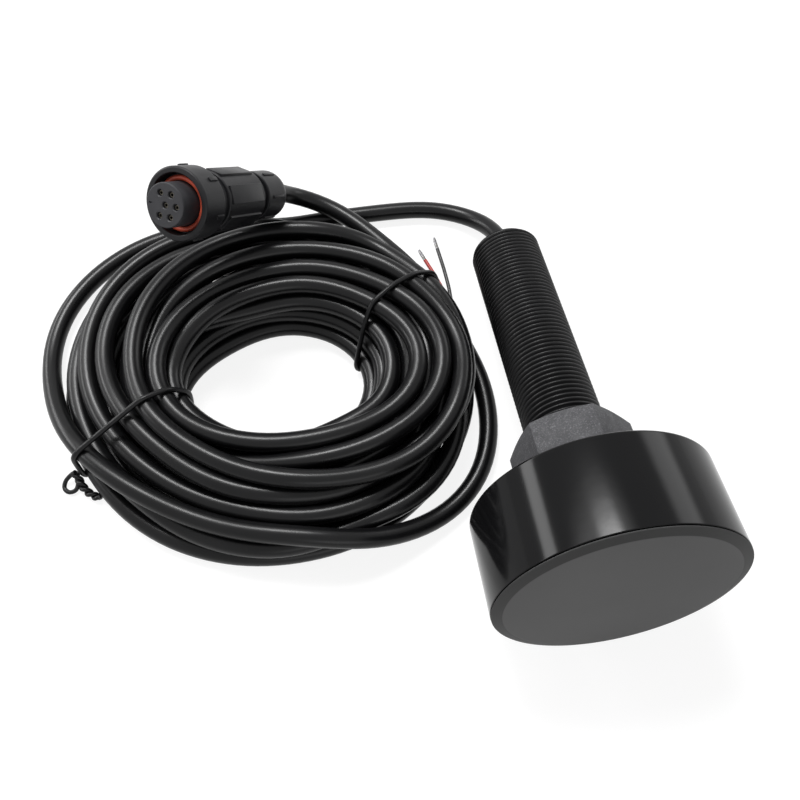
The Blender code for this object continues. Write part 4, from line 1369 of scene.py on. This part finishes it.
@dataclass
class Connector:
    """The six way cable connector. Millimetres back from the front face of its collar."""

    ring_radius: float = 12.0
    ring_length: float = 10.4
    ring_wall: float = 2.1
    lip: float = 2.2
    neck: float = 8.3
    insert_radius: float = 7.15
    insert_proud: float = 5.5
    shoulder: float = -4.2
    tail: float = 4.0
    socket_circle: float = 4.15
    socket_radius: float = 1.05
    key_angle: float = 193.0
    seal_section: float = 0.9
    groove_radius: float = 9.0
    groove: float = 5.7
    body_radius: float = 10.0
    body_length: float = 22.2
    thread_radius: float = 7.6
    thread_length: float = 11.0
    cavity: float = 6.6
    gland_radius: float = 8.9
    gland_gap: float = 4.7
    gland_length: float = 16.7
    gland_taper: float = 6.5
    gland_end: float = 5.5
    cable_radius: float = CABLE_RADIUS
    gap: float = 0.3
    rib_root: float = 1.2
    steps: int = 96
    pieces: list[Piece] = field(default_factory=list)

    def place(self) -> Matrix:
        """The connector's own axis in the frame, its mating side along +Z."""
        flat = Vector((CONNECTOR_AXIS.x, CONNECTOR_AXIS.y, 0.0)).normalized()
        sideways = Vector((-flat.y, flat.x, 0.0))
        up = CONNECTOR_AXIS.cross(sideways)
        return turned_to(CONNECTOR_FRONT * MM, sideways, up, CONNECTOR_AXIS)

    def put(self, name: str, built: BMesh, finish: Finish, node: str) -> None:
        """Places a piece of the connector that stays with the cable."""
        self.pieces.append(placed(name, built, self.place(), finish, (node,)))

    def ribs(self, radius: float, rise: float, width: float, low: float, high: float,
             first: float, round_off: float) -> list[BMesh]:
        """Six raised ribs or panels round a barrel.

        Args:
            radius: The barrel's radius.
            rise: How far they stand out of it.
            width: Their width.
            low: Their lower end along the axis.
            high: Their upper end.
            first: The first one's angle in degrees.
            round_off: The rounding of their edges.

        Returns:
            The ribs.
        """
        middle = Matrix.Translation((radius + (rise - self.rib_root) / 2, 0, (low + high) / 2))
        return [block((self.rib_root + rise, width, high - low), turn @ middle, round_off)
                for turn in around(6, first)]

    def build_collar(self) -> None:
        """The screw collar with its rounded rim and six grip ribs."""
        rear = -self.ring_length
        bore = self.ring_radius - self.ring_wall
        lip_top = rear + self.lip
        lip_bore = self.neck - self.gap
        outline = arc(bore + 0.35, -0.35, 0.35, 180, 90, 4)
        outline += corner(self.ring_radius, 0.0, 0.7, 5)
        outline += corner(self.ring_radius, rear, 0.3, 3, top=False)
        outline += [(lip_bore, rear), (lip_bore, lip_top), (bore, lip_top)]
        ribs = self.ribs(self.ring_radius, 0.55, 1.5, rear + 0.5, rear + 4.6, 1, 0.25)
        placed("collar", combined(turned(outline, self.steps), ribs, "UNION"), self.place(),
               CONNECTOR_NYLON, ("coupling_ring",), Body.COUPLING)

    def sockets(self) -> list[Spot]:
        """The middle contact, then the round of six without the key's place."""
        spots = [(0.0, 0.0)]
        for i in range(1, 6):
            angle = math.radians(self.key_angle + 60 * i)
            spots.append((self.socket_circle * math.cos(angle),
                          self.socket_circle * math.sin(angle)))
        return spots

    def build_insert(self) -> None:
        """The contact insert with its six holes and the key mark."""
        face = self.insert_proud
        rear = -self.ring_length - self.tail
        lip_top = -self.ring_length + self.lip + self.gap
        shoulder_radius = self.ring_radius - self.ring_wall - self.gap
        neck = self.neck - 2 * self.gap
        outline = [(0.0, face)]
        outline += corner(self.insert_radius, face, 0.35, 4)
        outline += [(self.insert_radius, self.shoulder), (shoulder_radius, self.shoulder),
                    (shoulder_radius, lip_top), (neck, lip_top), (neck, rear), (0.0, rear)]
        cuts = []
        for x, y in self.sockets():
            well = [(0.0, face + 0.5), (self.socket_radius + 0.75, face + 0.5),
                    (self.socket_radius, face - 0.25), (self.socket_radius, rear - 0.5),
                    (0.0, rear - 0.5)]
            cut = turned(well, 24, closed=False)
            bmesh.ops.translate(cut, vec=(x, y, 0), verts=cut.verts)
            cuts.append(cut)
        middle = Matrix.Translation((5.5, 0, face))
        turn = Matrix.Rotation(math.radians(self.key_angle), 4, "Z")
        cuts.append(block((1.3, 0.55, 0.8), turn @ middle, 0.12))
        built = combined(turned(outline, self.steps, closed=False), cuts, "DIFFERENCE")
        self.put("contact_insert", built, INSERT_NYLON, "connector_insert")

    def build_seal(self) -> None:
        """The orange sealing ring at the root of the insert."""
        radius = self.insert_radius + self.seal_section + 0.2
        height = self.shoulder + self.seal_section + 0.1
        outline = arc(radius, height, self.seal_section, 0, 360, 16)[:-1]
        self.put("orange_ring", turned(outline, self.steps), ORANGE_SILICONE, "seal_ring")

    def build_body(self) -> None:
        """The long barrel with its groove and six flat panels."""
        front = -self.ring_length - self.gap
        groove_end = front - self.groove
        rear = groove_end - self.body_length
        thread_end = rear - self.thread_length
        neck = self.neck - self.gap
        socket_rear = -self.ring_length - self.tail - self.gap
        outline = [(neck, front), (self.groove_radius, front), (self.groove_radius, groove_end)]
        outline += corner(self.body_radius, groove_end, 0.5, 4)
        outline += corner(self.body_radius, rear, 0.5, 4, top=False)
        outline += [(self.thread_radius, rear), (self.thread_radius, thread_end),
                    (self.cavity, thread_end), (self.cavity, socket_rear), (neck, socket_rear)]
        panels = self.ribs(self.body_radius, 0.3, 6.3, rear + 1.8, groove_end - 1.2, 34, 0.12)
        built = combined(turned(outline, self.steps), panels, "UNION")
        self.put("connector_barrel", built, CONNECTOR_NYLON, "connector_body")

    def build_gland(self) -> None:
        """The gland nut that closes on the cable."""
        rear = -self.ring_length - self.gap - self.groove - self.body_length
        front = rear - self.gland_gap
        end = front - self.gland_length
        bore = self.thread_radius + self.gap
        cable = self.cable_radius + self.gap
        stop = rear - self.thread_length - self.gap
        outline = [(bore, front)]
        outline += corner(self.gland_radius, front, 0.4, 4)
        for i in range(9):
            share = i / 8
            bulge = (self.gland_radius - self.gland_end) * (1 - math.cos(share * math.pi / 2))
            outline.append((self.gland_radius - bulge, end + self.gland_taper * (1 - share)))
        outline += [(cable + 0.4, end), (cable, end + 0.4), (cable, stop), (bore, stop)]
        ribs = self.ribs(self.gland_radius, 0.45, 1.2, end + self.gland_taper + 0.4,
                         front - 2.6, 20, 0.2)
        built = combined(turned(outline, self.steps), ribs, "UNION")
        self.put("gland_cap", built, CONNECTOR_NYLON, "gland_nut")

    def build(self) -> None:
        """Builds the connector's pieces."""
        self.build_collar()
        self.build_insert()
        self.build_seal()
        self.build_body()
        self.build_gland()


# What the head holds


@dataclass(frozen=True)
class InnerParts:
    """The CAD nodes that stay as they are and get their real finish."""

    finishes: tuple[tuple[Finish, tuple[str, ...]], ...] = (
        (CERAMIC, ("piezo_disc",)),
        (CORK, ("cork_backing", "cork_sleeve")),
        (EPOXY, ("potting_resin",)),
        (CORE_PVC, ("signal_lead", "return_lead")
         + tuple(f"cable_core_{i}" for i in range(1, 7))),
        (JACKET_PVC, ("stem_cable_run", "connector_cable_run")),
        (BLACK_RUBBER, ("stem_seal", "gland_seal")),
        # The contacts take the brass whose dark tone is painted shade of their holes.
        (PLATED_BRASS, tuple(f"socket_contact_{i}" for i in range(1, 7))),
    )

    def dress(self) -> None:
        """Gives each node its material."""
        for finish, names in self.finishes:
            for name in names:
                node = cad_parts[name]
                for place in node.material_slots:
                    place.material = finish.material()
                LOG.info("%s keeps its shape in %s", name, finish.name)


def main() -> None:
    """Builds the cords first, then the transducer, the connector and what they hold."""
    logging.basicConfig(level=logging.INFO, format="%(name)s: %(message)s")
    Studio().build()
    cable = SignalCable()
    cord = cable.build()
    connector = Connector()
    connector.build()
    held = ["gland_seal", "connector_cable_run"]
    held += [f"socket_contact_{i}" for i in range(1, 7)]
    CoilTie("tie_left", "coil_tie_left", (-126.0, 27.0), (-168.0, 7.0), tails=(
        ((-167.2, 9.2, 4.8), (-169.6, 9.0, 2.8), (-171.8, 7.4, 1.5), (-172.2, 5.1, 1.0),
         (-170.4, 3.4, 1.0), (-168.2, 3.8, 1.2), (-167.1, 5.8, 2.0), (-167.3, 8.0, 3.4)),),
        twisted=((-167.9, 9.4, 3.2), (-166.6, 6.8, 2.2), (-164.9, 3.6, 1.7), (-162.6, 1.2, 1.6),
                 (-159.6, -0.6, 1.6))).build(cable)
    CoilTie("tie_right", "coil_tie_right", (-59.0, 38.0), (-22.0, 62.0), 0.25).build(cable)
    BaredWire("red_supply_wire", "red_wire", RED_PVC, (
        (-37.5, 55.2), (-30, 57.2), (-25.2, 60.6), (-24.8, 65.5), (-26.2, 71.8),
        (-29.7, 82.6))).build()
    BaredWire("black_supply_wire", "black_wire", BLACK_PVC, (
        (-36.5, 52.2), (-28, 54.4), (-23.3, 58.4), (-22.6, 64.8), (-22.8, 75.4),
        (-23.8, 87.4))).build()
    Head().build()
    ThreadedStem().build()
    HullNut().build()
    InnerParts().dress()


if __name__ == "__main__":
    main()
